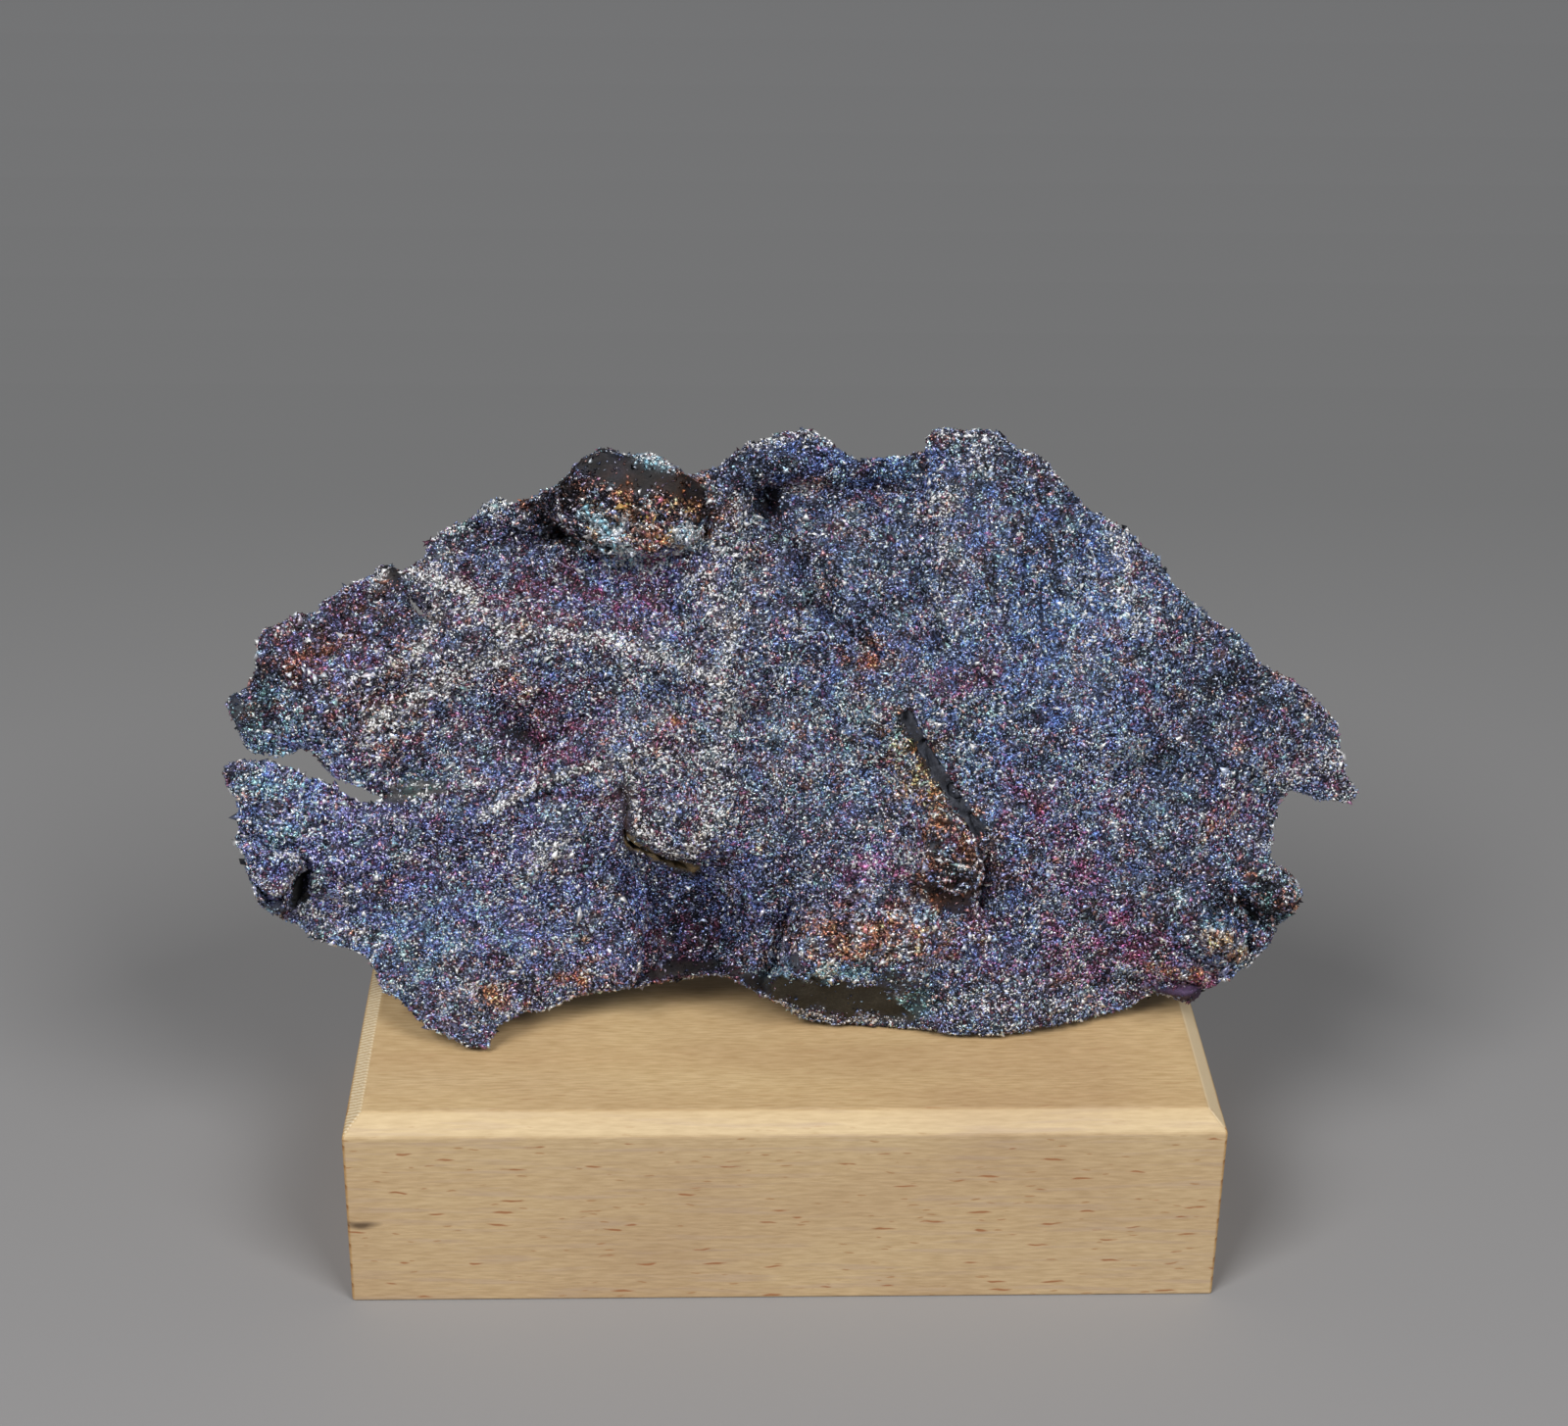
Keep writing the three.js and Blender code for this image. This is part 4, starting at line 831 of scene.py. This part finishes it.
# Broad light and dark: painted shade in hollows, pits, creases, under the brow and beside steps, painted
# light where the relief's own shade falls too deep, and the crust's own lighter and darker patches: u, v, two
# radii, turn, and by how much.
SHADE_AND_TONE_PATCHES = [
    (10, 11.4, 10, 3, 0, 0.68), (20.8, 19.0, 4.2, 3.4, 0, 0.55), (-17, 61, 7, 3, 0, 0.66),
    (4, 68, 12, 2.6, 0, 0.68), (66, 33, 5, 4, 0, 0.76), (48, 12, 7, 6, -40, 0.64), (17, 25, 3.4, 5, 25, 0.78),
    (-9, 10.5, 7.5, 8, 0, 0.42), (-20.6, 20.4, 4.6, 1.6, -38, 0.7), (58, 14, 6, 6, 0, 0.39),
    (2, 34, 14, 12, 0, 1.14), (-15, 53, 8, 4, 0, 1.06),
    (-1.6, 63.6, 3.4, 2.6, 0, 0.45), (-17, 58.2, 8, 1.0, 0, 0.8), (-25.5, 65, 4, 3, -30, 0.42),
    (-13, 65.6, 4, 1.6, 0, 0.55),
    (-29.5, 62.4, 2.4, 1.8, 0, 0.55), (-24, 58.8, 4.5, 1.0, -25, 0.55), (-9.4, 60.8, 1.0, 2.2, 0, 0.5),
    (0.6, 57.8, 4.4, 1.2, -64, 0.36), (7, 49, 5.5, 1.2, -38, 0.4), (32, 63.9, 3, 2, 0, 0.7),
    (54.6, 41.8, 3, 2.4, -40, 0.75), (44.7, 30, 2.6, 2.6, 0, 0.75), (-43.8, 51.8, 2.4, 3, 20, 0.6),
    (-59.3, 43.1, 3, 2.4, 30, 0.6), (-61.7, 38.4, 2.4, 3, 0, 0.55), (-30.2, 36.4, 3.4, 1.4, -55, 0.3),
    (-26.6, 36.6, 2.8, 1.0, 45, 0.55), (-52, 49, 6, 5, 0, 0.66), (-57.2, 19.4, 2.6, 2.6, 0, 0.7),
    (50, 38, 8, 9, -40, 0.78), (-1, 54, 5, 5, 0, 0.92), (-14, 66.5, 3, 2, 0, 0.75), (-25, 38, 15, 7, 0, 1.13),
    (-13, 38, 5, 7, 0, 1.14), (-62, 44, 3, 5, 0, 0.7), (20, 56, 2.4, 9, 0, 1.1), (38, 56, 2.4, 9, 8, 1.1),
    (0.8, 10.4, 1.2, 3.4, 0, 0.45), (-3.2, 12.5, 1.4, 2, 0, 1.3), (36, 33, 2.6, 10, 0, 1.12),
    (30, 28, 2.4, 5, 0, 0.86), (11, 57, 6, 7, 0, 0.9), (-45, 14, 16, 8, 0, 1.06),
    (17.3, 66.1, 3, 2.2, 0, 0.75), (26, 68, 6, 2.6, -35, 0.65), (-5.2, 67.6, 3, 2.6, 0, 0.45),
    (-8, 64, 1.5, 2.2, 0, 0.55),
    (-23.2, 61.2, 1.8, 2.4, 0, 0.45), (-15.5, 56.2, 3.6, 1.8, 0, 1.8), (-46, 38, 5, 3, 35, 1.2),
    (-39, 42, 3, 2, 30, 1.35), (-49, 33.4, 2.4, 2.4, 0, 1.35), (-38, 32, 2, 1.6, 0, 1.3),
    (-20.2, 27.7, 2, 3, -20, 1.7), (-12.7, 20.6, 2, 1.4, 0, 1.3), (-33, 20, 6, 2, 0, 1.2),
    (7, 43.6, 2.4, 1.4, 0, 0.5), (-12.7, 51, 2, 2, 0, 0.7), (-7, 35.6, 2.4, 1.6, 0, 0.75),
    (39, 33.5, 5, 5, -50, 1.4), (12.4, 22, 2, 2.6, 0, 1.5), (14.6, 17.4, 2.2, 1.5, 0, 1.6),
    (28.8, 50.4, 1.8, 4, 0, 1.35), (18.4, 54.4, 2, 2, 0, 0.65), (5.4, 63.3, 2.4, 1.6, 0, 0.7),
    (-46, 12.4, 4, 1.2, 0, 0.68), (-42, 8, 3, 2, 0, 0.75), (-24.4, 12.4, 3, 1.4, 0, 0.7),
    (-19.4, 18, 1.6, 3, 0, 0.78), (9, 7.2, 3, 1.2, 0, 0.78), (21, 5, 3.4, 2.4, -30, 0.78),
    (51.7, 14.2, 2, 2, 0, 0.55), (58.7, 15.4, 2, 2, 0, 1.7), (40.2, 5.7, 2.4, 1.4, 0, 0.65),
    (44.7, 11.8, 2, 3, 0, 0.75), (48, 35.2, 1.4, 2.6, 0, 0.7), (48.4, 27, 3.4, 1.6, -20, 0.75),
    (60, 33, 3, 2, 30, 1.3), (-62, 30.2, 3, 1, 0, 0.6), (-60.8, 25.6, 2, 1.4, 0, 0.8),
    (-52, 47.6, 6, 1.6, 10, 0.75), (-61, 40, 2.4, 3, 0, 0.85),
]
TINT_NAMES = list(TINTS)
TINT_COLOURS = np.array([linear(colour) for colour in TINTS.values()])
# Between the crystals the film is painted this much darker and its colour deeper, as painted shade down in
# the gaps.
SKIN_SHADE_GAIN = 0.95
SKIN_SHADE_DEPTH = 1.35
BARE_SPREAD = 0.5
# The flat map takes in the sheet from this (u, v), over this many mm.
MAP_CORNER = (-70.0, -4.0)
MAP_SIZE = (142.0, 82.0)


def tarnish_clouds():
    """For each vertex of the skin, the noise of each clump of tints, of the dust and of the tone."""
    clouds = [rough(skin_places, CLUMP_SIZE, seed=20 + i) for i in range(len(CLUMPS))]
    clouds.append(rough(skin_places, DRIFT_SIZE, seed=40))
    clouds.append(rough(skin_places, TONE_SIZE, seed=41))
    marks = striae(skin_sheet[:, :2]) * skin_front
    clouds[3] += STRIAE_TINT / CLUMPS[3][1] * marks
    clouds[-1] += STRIAE_TONE / TONE_SPREAD * marks
    return np.column_stack(clouds)


def tint_mix(uv, front, clouds):
    """The share of each tint at each place, one column a tint."""
    mix = np.tile([BASE_MIX.get(name, 0.0) for name in TINT_NAMES], (len(uv), 1))
    for blotches, side in ((BLOTCHES, front), (BACK_BLOTCHES, 1.0 - front)):
        for u, v, ru, rv, turn, added in blotches:
            weight = hill(uv, u, v, ru, rv, turn) * side
            for name, share in added.items():
                mix[:, TINT_NAMES.index(name)] += weight * share
    for i, (names, strength) in enumerate(CLUMPS):
        for name in names:
            mix[:, TINT_NAMES.index(name)] *= np.exp(strength * clouds[:, i])
    dust = np.zeros(len(uv))
    for half_width, strength, line in DUST_LINES:
        dust = np.maximum(dust, strength * band(uv, line, half_width))
    for u, v, ru, rv, strength in DUST_PATCHES:
        dust = np.maximum(dust, strength * hill(uv, u, v, ru, rv))
    drifts = smooth_step(-0.4, 0.3, clouds[:, len(CLUMPS)])
    dust = np.maximum(dust * front * (0.7 + 0.3 * drifts), RIM_DUST * 4.0 * front * (1.0 - front) * drifts)
    dust *= DUST_SHARE
    mix *= ((1.0 - dust) / mix.sum(1))[:, None]
    mix[:, TINT_NAMES.index("dust")] += dust
    return mix


def tone(uv, front, clouds):
    """How light or dark each place is: the crust's own cloudy tone, with the broad painted shade and light.
    """
    light = np.exp(TONE_SPREAD * clouds[:, len(CLUMPS) + 1])
    for u, v, ru, rv, turn, factor in SHADE_AND_TONE_PATCHES:
        light *= 1.0 + (factor - 1.0) * front * hill(uv, u, v, ru, rv, turn)
    return light


def planar_map(mesh, sheet, front):
    """A flat map of the skin: its front over its back."""
    corners = numbers(mesh.loops, "vertex_index", 1, np.int32)
    face_front = np.repeat(front[corners].reshape(-1, 4).mean(1) > 0.5, 4)
    flat = (sheet[corners, :2] - MAP_CORNER) / MAP_SIZE
    flat[:, 1] = (flat[:, 1] + face_front) / 2
    store(mesh.uv_layers.new(name="OFBake").uv, "vector", flat)


def colour_skin(clouds):
    """Gives the skin its film colour, painted darker as shade between the crystals and with the broad painted
    shade and light, its dust and its bareness as vertex attributes.
    """
    mesh = ore_skin.data
    uv = skin_sheet[:, :2]
    mix = tint_mix(uv, skin_front, clouds)
    # Painted shade: the film's colour is darkened between the crystals, and the broad patches add painted
    # shade and light.
    colours = SKIN_SHADE_GAIN * (mix @ TINT_COLOURS) ** SKIN_SHADE_DEPTH * tone(uv, skin_front, clouds)[:, None]
    colours += skin_bare[:, None] * (skin_bare_tint * np.exp(BARE_SPREAD * clouds[:, -1:]) - colours)
    packed = np.column_stack([np.clip(colours, 0.0, 1.0), skin_bare])
    store(mesh.color_attributes.new("tarnish_and_painted_light", "FLOAT_COLOR", "POINT").data, "color", packed)
    mesh.polygons.foreach_set("use_smooth", [True] * len(mesh.polygons))
    planar_map(mesh, skin_sheet, skin_front)


def sulphide_skin():
    """The crust between the crystals: dull sulphide, darkened as painted shade, in fine grains of 0.2 mm,
    some of them bright; the bare places are smoother."""
    material, tree = new_material("massive copper iron sulphide")
    tarnish_and_painted_light = add_node(tree, "VertexColor", layer_name="tarnish_and_painted_light")
    place = add_node(tree, "TexCoord").outputs["Object"]
    grains = add_node(tree, "TexVoronoi", {"Vector": place, "Scale": 4600.0}, feature="F1")
    shade = add_node(tree, "SeparateXYZ", {"Vector": grains.outputs["Color"]})
    grained = shaded(tree, tarnish_and_painted_light, shade, [(0.0, "#3c3c40"), (0.6, "#8c8c90"), (1.0, "#ffffff")])
    smooth = add_node(tree, "MixRGB", {"Fac": 0.45, "Color1": tarnish_and_painted_light, "Color2": grained})
    bare = tarnish_and_painted_light.outputs["Alpha"]
    colour = add_node(tree, "MixRGB", {"Fac": bare, "Color1": grained, "Color2": smooth})
    # From the crusted places to the bare ones: the grains' relief, the metallic film and the roughness.
    strength, metallic, roughness = (
        add_node(tree, "MapRange", {"Value": bare, "To Min": crusted, "To Max": smoothed})
        for crusted, smoothed in ((0.6, 0.3), (0.3, 0.0), (0.48, 0.72)))
    bump = add_node(tree, "Bump", {"Height": grains, "Distance": 0.00012, "Strength": strength})
    finish_surface(tree, {"Base Color": colour, "Metallic": metallic, "Roughness": roughness,
                          "Specular IOR Level": 0.35, "Normal": bump})
    return material


skin_clouds = tarnish_clouds()
colour_skin(skin_clouds)
ore_skin.data.materials.clear()
ore_skin.data.materials.append(sulphide_skin())
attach(ore_skin, "root")
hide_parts("peacock_ore")


# Crystals: the drusy crust of wedge-shaped sulphide crystals, 0.2 to 0.5 mm across, that covers the sheet
# and sparkles. Each is a four-faced wedge half sunk in the skin; they grew on it in no one direction.
FRONT_CRYSTALS = 160000
BACK_CRYSTALS = 36000
CRYSTAL_SIZE = 0.27
BACK_CRYSTAL_SIZE = 0.46
CRYSTAL_STRETCH = (1.5, 0.75, 0.8)
STRETCH_SPREAD = (0.7, 1.35)
# How far a crystal's middle stands off the skin, as a share of its size, and off the block's top in mm.
CRYSTAL_LIFT = 0.12
FOOT_CLEARANCE = 0.45
# The share of crystals that a bare place lacks, how much dimmer the rest are there, and how much smaller
# they are beside the crack and the hole.
BARE_CLEARING = 0.995
BARE_DIMMING = 0.75
SLOT_SHRINKING = 0.5
SIZE_SPREAD = 0.32
COLOUR_GAIN = 2.21
BRIGHTNESS_SPREAD = 0.46
# The spread is less over the fan, by this share.
FAN_EVENNESS = 0.62
# How far a crystal lies down along the skin, and how far its own tint shows over its neighbours'.
LYING = 0.75
OWN_TINT = 0.45
# The share of crystals given a painted highlight, light silver and partly matt, and their size beside the
# rest.
SPARKLING = 0.012
SPARKLING_SIZE = 1.4
# Where many more crystals get a painted highlight: u, v, two radii, turn, share and tint.
GLINTS = [
    (-20.0, 60.0, 3.0, 1.1, -38, 0.2, "silver"), (-20.6, 61.0, 2.4, 1.0, -38, 0.12, "cyan"),
    (-11.4, 60.2, 1.6, 1.0, 0, 0.2, "silver"), (-16.5, 61.4, 4.6, 1.6, 0, 0.06, "gold"),
    (-15.2, 68.4, 2.0, 0.8, -15, 0.2, "cyan"), (12.5, 13.6, 4.5, 0.8, 0, 0.12, "silver"),
    (52.6, 10.8, 2.0, 0.8, -25, 0.2, "dust"), (-55, 43, 5, 2.4, 0, 0.02, "silver"),
    (2.0, 65.3, 2.6, 0.6, 0, 0.2, "silver"), (-57.5, 33.5, 2.2, 3, 0, 0.05, "cyan"),
    (-38, 16, 16, 9, 0, 0.01, "cyan"), (-30, 40, 18, 9, 0, 0.008, "silver"),
    (-15.6, 56.5, 2.2, 1.0, 0, 0.12, "silver"),
]
GLINT_SIZE = 1.2
# A glint is a painted highlight: its colour is lighter and it is more matt than its neighbours, so it shows
# bright from any angle.
GLINT_GAIN = 1.2
GLINT_MATT = 0.3
# Where the crystals grew larger: u, v, two radii and by how much.
COARSE_PATCHES = [
    (-17, 61, 8, 4, 0.75), (10, 11, 10, 3.5, 0.35), (53, 13, 8, 7, 0.3), (-56, 28, 8, 12, 0.25),
    (20, 24, 4, 6, 0.3), (-52, 46, 8, 6, 0.2),
]
# The largest crystals, each painted as a bright highlight, as u, v, size and tint.
LARGE_GLINT_CRYSTALS = [
    (-57.3, 43.1, 1.0, "silver"), (-54.6, 42.7, 1.1, "silver"), (-46.0, 44.4, 0.7, "silver"),
    (-58.4, 34.0, 0.8, "cyan"), (-58.0, 33.2, 0.6, "silver"), (-23.0, 63.0, 0.8, "cyan"),
    (-21.8, 61.2, 0.9, "silver"), (-20.6, 60.6, 0.7, "cyan"), (-19.6, 59.7, 0.8, "silver"),
    (-11.4, 59.6, 0.8, "cyan"), (-15.6, 68.5, 0.7, "silver"), (-14.8, 68.1, 0.6, "cyan"),
    (-17.6, 61.2, 0.4, "gold"), (-19.0, 61.6, 0.5, "orange"), (12.6, 30.4, 0.5, "gold"),
    (21.6, 9.9, 0.8, "silver"), (22.2, 11.2, 0.7, "silver"), (56.9, 12.8, 0.8, "silver"),
    (53.4, 10.6, 0.6, "dust"), (51.6, 6.9, 0.6, "dust"), (-3.3, 46.0, 0.7, "silver"),
    (-12.2, 36.6, 0.7, "silver"), (39.9, 50.2, 0.6, "silver"), (44.4, 16.2, 0.6, "silver"),
]


def unit_crystal():
    """One wedge of size one, as its corners and its faces."""
    bm = bmesh.new()
    bmesh.ops.create_cone(bm, cap_ends=True, cap_tris=False, segments=3, radius1=0.62, radius2=0.0,
                          depth=0.88)
    bmesh.ops.remove_doubles(bm, verts=bm.verts[:], dist=1e-3)
    bmesh.ops.recalc_face_normals(bm, faces=bm.faces[:])
    corners = np.array([v.co for v in bm.verts])
    faces = np.array([[v.index for v in f.verts] for f in bm.faces])
    bm.free()
    return corners, faces


def lying_turns(outwards, rng):
    """A turn for each crystal as a matrix: rolled any way, its long axis lying along the skin."""
    lengthways = rng.normal(size=outwards.shape)
    lengthways -= LYING * (lengthways * outwards).sum(1)[:, None] * outwards
    lengthways /= np.linalg.norm(lengthways, axis=1)[:, None]
    sideways = np.cross(lengthways, rng.normal(size=outwards.shape))
    sideways /= np.linalg.norm(sideways, axis=1)[:, None]
    return np.stack([lengthways, sideways, np.cross(lengthways, sideways)], 2)


def with_own_tint(mix, tint):
    """Each crystal's colour: as light as its own tint, its hue between that and the mix around it."""
    own = TINT_COLOURS[tint]
    around = mix @ TINT_COLOURS
    lightness = (own @ LUMINANCE)[:, None]
    blended = OWN_TINT * own / lightness + (1.0 - OWN_TINT) * around / (around @ LUMINANCE)[:, None]
    return lightness * blended


def sulphide_crystals():
    """Tarnished sulphide crystals: metallic facets under a coloured film, dulled where dust lies and, less,
    where a painted highlight is.
    """
    material, tree = new_material("tarnished sulphide crystals")
    tarnish_and_painted_light = add_node(tree, "VertexColor", layer_name="tarnish_and_painted_light")
    metallic, roughness = (
        add_node(tree, "MapRange", {"Value": tarnish_and_painted_light.outputs["Alpha"], "To Min": clean, "To Max": dusty})
        for clean, dusty in ((0.6, 0.0), (0.28, 0.8)))
    finish_surface(tree, {"Base Color": tarnish_and_painted_light, "Metallic": metallic, "Roughness": roughness})
    return material


def crystals_on(wanted, count, size, seed):
    """Crystals on the skin's triangles by how much each is wanted: corners in mm, colours, places on the
    sheet, one row a crystal."""
    rng = np.random.default_rng(seed)
    mesh = ore_skin.data
    mesh.calc_loop_triangles()
    corners = numbers(mesh.loop_triangles, "vertices", 3, np.int32)
    a, b, c = skin_places[corners].transpose(1, 0, 2)
    cross = np.cross(b - a, c - a)
    area = np.linalg.norm(cross, axis=1) / 2
    chance = area * wanted[corners].mean(1) * (1.0 - BARE_CLEARING * skin_bare[corners].mean(1))
    chosen = np.searchsorted(np.cumsum(chance), rng.random(count) * chance.sum())
    chosen = np.minimum(chosen, len(chance) - 1)
    parts = rng.dirichlet((1.0, 1.0, 1.0), count)[:, :, None]
    picked = corners[chosen]
    sheet = (skin_sheet[picked] * parts).sum(1)
    sparkling = rng.random(count) < SPARKLING
    sizes = size * np.exp(SIZE_SPREAD * rng.normal(size=count)) * np.where(sparkling, SPARKLING_SIZE, 1.0)
    front = skin_front[picked].mean(1)
    for u, v, ru, rv, growth in COARSE_PATCHES:
        sizes *= 1.0 + growth * front * hill(sheet, u, v, ru, rv)
    slot_gap = np.minimum(nearest(sheet[:, :2], CRACK)[0], nearest(sheet[:, :2], HOLE)[0])
    sizes *= 1.0 - SLOT_SHRINKING * smooth_step(1.2, 0.6, slot_gap)
    outwards = cross[chosen] / np.maximum(2 * area[chosen], 1e-12)[:, None]
    stretch = rng.uniform(*STRETCH_SPREAD, (count, 1, 3)) * CRYSTAL_STRETCH
    turns = lying_turns(outwards, rng)

    clouds = skin_clouds[picked].mean(1)
    mix = tint_mix(sheet[:, :2], front, clouds)
    tint = (np.cumsum(mix, 1) / mix.sum(1)[:, None] < rng.random((count, 1))).sum(1)
    tint = np.minimum(tint, len(TINT_NAMES) - 1)
    tint[sparkling] = TINT_NAMES.index("silver")
    spread = BRIGHTNESS_SPREAD * (1.0 - FAN_EVENNESS * hill(sheet, *FAN))[:, None]
    colours = with_own_tint(mix, tint) * np.exp(spread * rng.normal(size=(count, 1)))
    # The broad patches put painted shade and painted light on the crystals too.
    light = tone(sheet[:, :2], front, clouds) * (1.0 - BARE_DIMMING * skin_bare[picked].mean(1))
    colours = np.clip(COLOUR_GAIN * colours * light[:, None], 0.0, 1.0)
    # Dust is matt; the painted highlights below are made partly matt and lighter, so they show bright from
    # any angle.
    matt = (tint == TINT_NAMES.index("dust")).astype(float)
    matt[sparkling] = GLINT_MATT
    for u, v, ru, rv, turn, share, name in GLINTS:
        bright = rng.random(count) < share * (front > 0.5) * hill(sheet, u, v, ru, rv, turn)
        tint[bright] = TINT_NAMES.index(name)
        colours[bright] = np.minimum(GLINT_GAIN * TINT_COLOURS[tint[bright]], 1.0)
        sizes[bright] *= GLINT_SIZE
        matt[bright] = GLINT_MATT
    on_back = 100.0 * (front < 0.5)
    for u, v, large, name in LARGE_GLINT_CRYSTALS:
        one = (np.hypot(sheet[:, 0] - u, sheet[:, 1] - v) + on_back).argmin()
        if front[one] > 0.5:
            sizes[one] = large
            stretch[one] = 1.0
            colours[one] = np.minimum(GLINT_GAIN * TINT_COLOURS[TINT_NAMES.index(name)], 1.0)
            matt[one] = GLINT_MATT
    centres = (skin_places[picked] * parts).sum(1) + outwards * (CRYSTAL_LIFT * sizes)[:, None]

    # No crystal grows where the foot meets the block, and none leaves the solids' box.
    over_block = (np.abs(centres[:, :2]) < (HALF_LENGTH / MM, HALF_DEPTH / MM)).all(1)
    kept = ~(over_block & (centres[:, 2] < BLOCK_HEIGHT / MM + FOOT_CLEARANCE))
    shape = unit_corners[None] * stretch * sizes[:, None, None]
    points = np.einsum("nij,nkj->nki", turns, shape) + centres[:, None]
    kept &= (points.min(1) > np.array(cad_bounds[0]) / MM).all(1)
    kept &= (points.max(1) < np.array(cad_bounds[1]) / MM).all(1)
    return points[kept], np.column_stack([colours, matt])[kept], sheet[kept]


def crystal_map(count):
    """A map with one small square cell for each crystal, its four faces side by side in it."""
    side = math.ceil(math.sqrt(count))
    cell = np.stack([np.arange(count) % side, np.arange(count) // side], 1)
    net = np.array([[(0.25, 0.1), (0.75, 0.1), (0.5, 0.45)], [(0.08, 0.1), (0.22, 0.1), (0.22, 0.9)],
                    [(0.78, 0.1), (0.92, 0.1), (0.78, 0.9)], [(0.25, 0.9), (0.75, 0.9), (0.5, 0.55)]])
    return ((cell[:, None, None] + net[None]) / side).reshape(-1, 2)


def add_crystals(name, points, colours):
    """One piece of crust from these crystals."""
    count = len(points)
    triangles = unit_faces[None] + len(unit_corners) * np.arange(count)[:, None, None]
    mesh = bpy.data.meshes.new(name)
    mesh.vertices.add(points.shape[0] * points.shape[1])
    store(mesh.vertices, "co", points * MM)
    mesh.loops.add(triangles.size)
    store(mesh.loops, "vertex_index", triangles, np.int32)
    mesh.polygons.add(triangles.size // 3)
    store(mesh.polygons, "loop_start", np.arange(0, triangles.size, 3), np.int32)
    mesh.update(calc_edges=True)
    tarnish_and_painted_light = mesh.color_attributes.new("tarnish_and_painted_light", "FLOAT_COLOR", "POINT")
    store(tarnish_and_painted_light.data, "color", np.repeat(colours, len(unit_corners), 0))
    store(mesh.uv_layers.new(name="OFBake").uv, "vector", crystal_map(count))
    mesh.materials.append(crystal_material)
    piece = bpy.data.objects.new(name, mesh)
    bpy.context.scene.collection.objects.link(piece)
    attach(piece, "root")
    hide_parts("peacock_ore")


unit_corners, unit_faces = unit_crystal()
crystal_material = sulphide_crystals()
on_front = smooth_step(0.0, 0.3, skin_front)
front_points, front_colours, front_sheet = crystals_on(on_front, FRONT_CRYSTALS, CRYSTAL_SIZE, 11)
across_order = np.array_split(np.argsort(front_sheet[:, 0], kind="stable"), 4)
front_names = ("crystals_far_left", "crystals_left", "crystals_right", "crystals_far_right")
for name, rows in zip(front_names, across_order):
    add_crystals(name, front_points[rows], front_colours[rows])
back_points, back_colours, _ = crystals_on(1.0 - on_front, BACK_CRYSTALS, BACK_CRYSTAL_SIZE, 14)
add_crystals("crystals_back", back_points, back_colours)


# Stage: a sheet of pale grey paper as the floor, two soft square lamps above the front left and front right,
# the camera in front of the block and a little over it, and the room's faint cool light.
FLOOR_SIDE = 5.0
SWEEP_START = 0.25
SWEEP_RISE = 0.35
CAMERA_PLACE = Vector((-0.0113057, -0.2935, 0.213682))
CAMERA_YAW = 0.0378405
CAMERA_PITCH = 0.4697085
CAMERA_ROLL = -0.0163362
CAMERA_LENS = 65.30


def add_floor():
    """A matt grey sheet of paper, flat under the object and curling up far behind it, painted darker behind
    the block as painted light falloff.
    """
    bm = bmesh.new()
    bmesh.ops.create_grid(bm, x_segments=1, y_segments=160, size=FLOOR_SIDE / 2)
    for corner in bm.verts:
        behind = max(corner.co.y - SWEEP_START, 0.0)
        corner.co.z = SWEEP_RISE * behind ** 2
    mesh = bpy.data.meshes.new("floor")
    bm.to_mesh(mesh)
    bm.free()
    floor = bpy.data.objects.new("floor", mesh)
    bpy.context.scene.collection.objects.link(floor)
    # Painted light falloff: the paper is painted paler at the front than behind the block.
    material, tree = new_material("grey paper with painted falloff")
    place = add_node(tree, "TexCoord").outputs["Object"]
    backwards = add_node(tree, "SeparateXYZ", {"Vector": place}).outputs["Y"]
    far = add_node(tree, "MapRange", {"Value": backwards, "From Min": -0.1, "From Max": 0.7})
    paper = add_node(tree, "ValToRGB", {"Fac": far}, [(0.0, "#9b9999"), (0.4, "#818181"), (1.0, "#888889")])
    finish_surface(tree, {"Base Color": paper, "Roughness": 0.9})
    mesh.materials.append(material)


def add_light(name, place, size, power):
    """A soft square light at a place in metres, turned to the object."""
    data = bpy.data.lights.new(name, "AREA")
    data.shape = "SQUARE"
    data.size = size
    data.energy = power
    light = bpy.data.objects.new(name, data)
    light.location = place
    light.rotation_euler = (Vector((0.0, 0.0, 0.05)) - Vector(place)).to_track_quat("-Z", "Y").to_euler()
    bpy.context.scene.collection.objects.link(light)


def add_camera():
    """The camera, from its place, its turn about the upright, its tilt down and its roll."""
    ahead = Vector((math.sin(CAMERA_YAW) * math.cos(CAMERA_PITCH),
                    math.cos(CAMERA_YAW) * math.cos(CAMERA_PITCH), -math.sin(CAMERA_PITCH)))
    right = Vector((math.cos(CAMERA_YAW), -math.sin(CAMERA_YAW), 0.0))
    down = ahead.cross(right)
    rolled_right = math.cos(CAMERA_ROLL) * right + math.sin(CAMERA_ROLL) * down
    rolled_down = -math.sin(CAMERA_ROLL) * right + math.cos(CAMERA_ROLL) * down
    data = bpy.data.cameras.new("camera")
    data.sensor_fit = "HORIZONTAL"
    data.sensor_width = 36.0
    data.lens = CAMERA_LENS
    data.clip_start = 0.01
    camera = bpy.data.objects.new("camera", data)
    turn = Matrix((rolled_right, -rolled_down, -ahead)).transposed()
    camera.matrix_world = Matrix.Translation(CAMERA_PLACE) @ turn.to_4x4()
    bpy.context.scene.collection.objects.link(camera)
    bpy.context.scene.camera = camera


add_floor()
add_light("left", (-0.8, -1.0, 1.34), 0.75, 22.8)
add_light("right", (0.8, -1.0, 1.34), 0.75, 16.8)
add_camera()
world = bpy.data.worlds.new("studio")
world.use_nodes = True
world.node_tree.nodes["Background"].inputs["Color"].default_value = (*linear("#c8ccd2"), 1.0)
world.node_tree.nodes["Background"].inputs["Strength"].default_value = 0.16
bpy.context.scene.world = world
bpy.context.scene.view_settings.view_transform = "Standard"
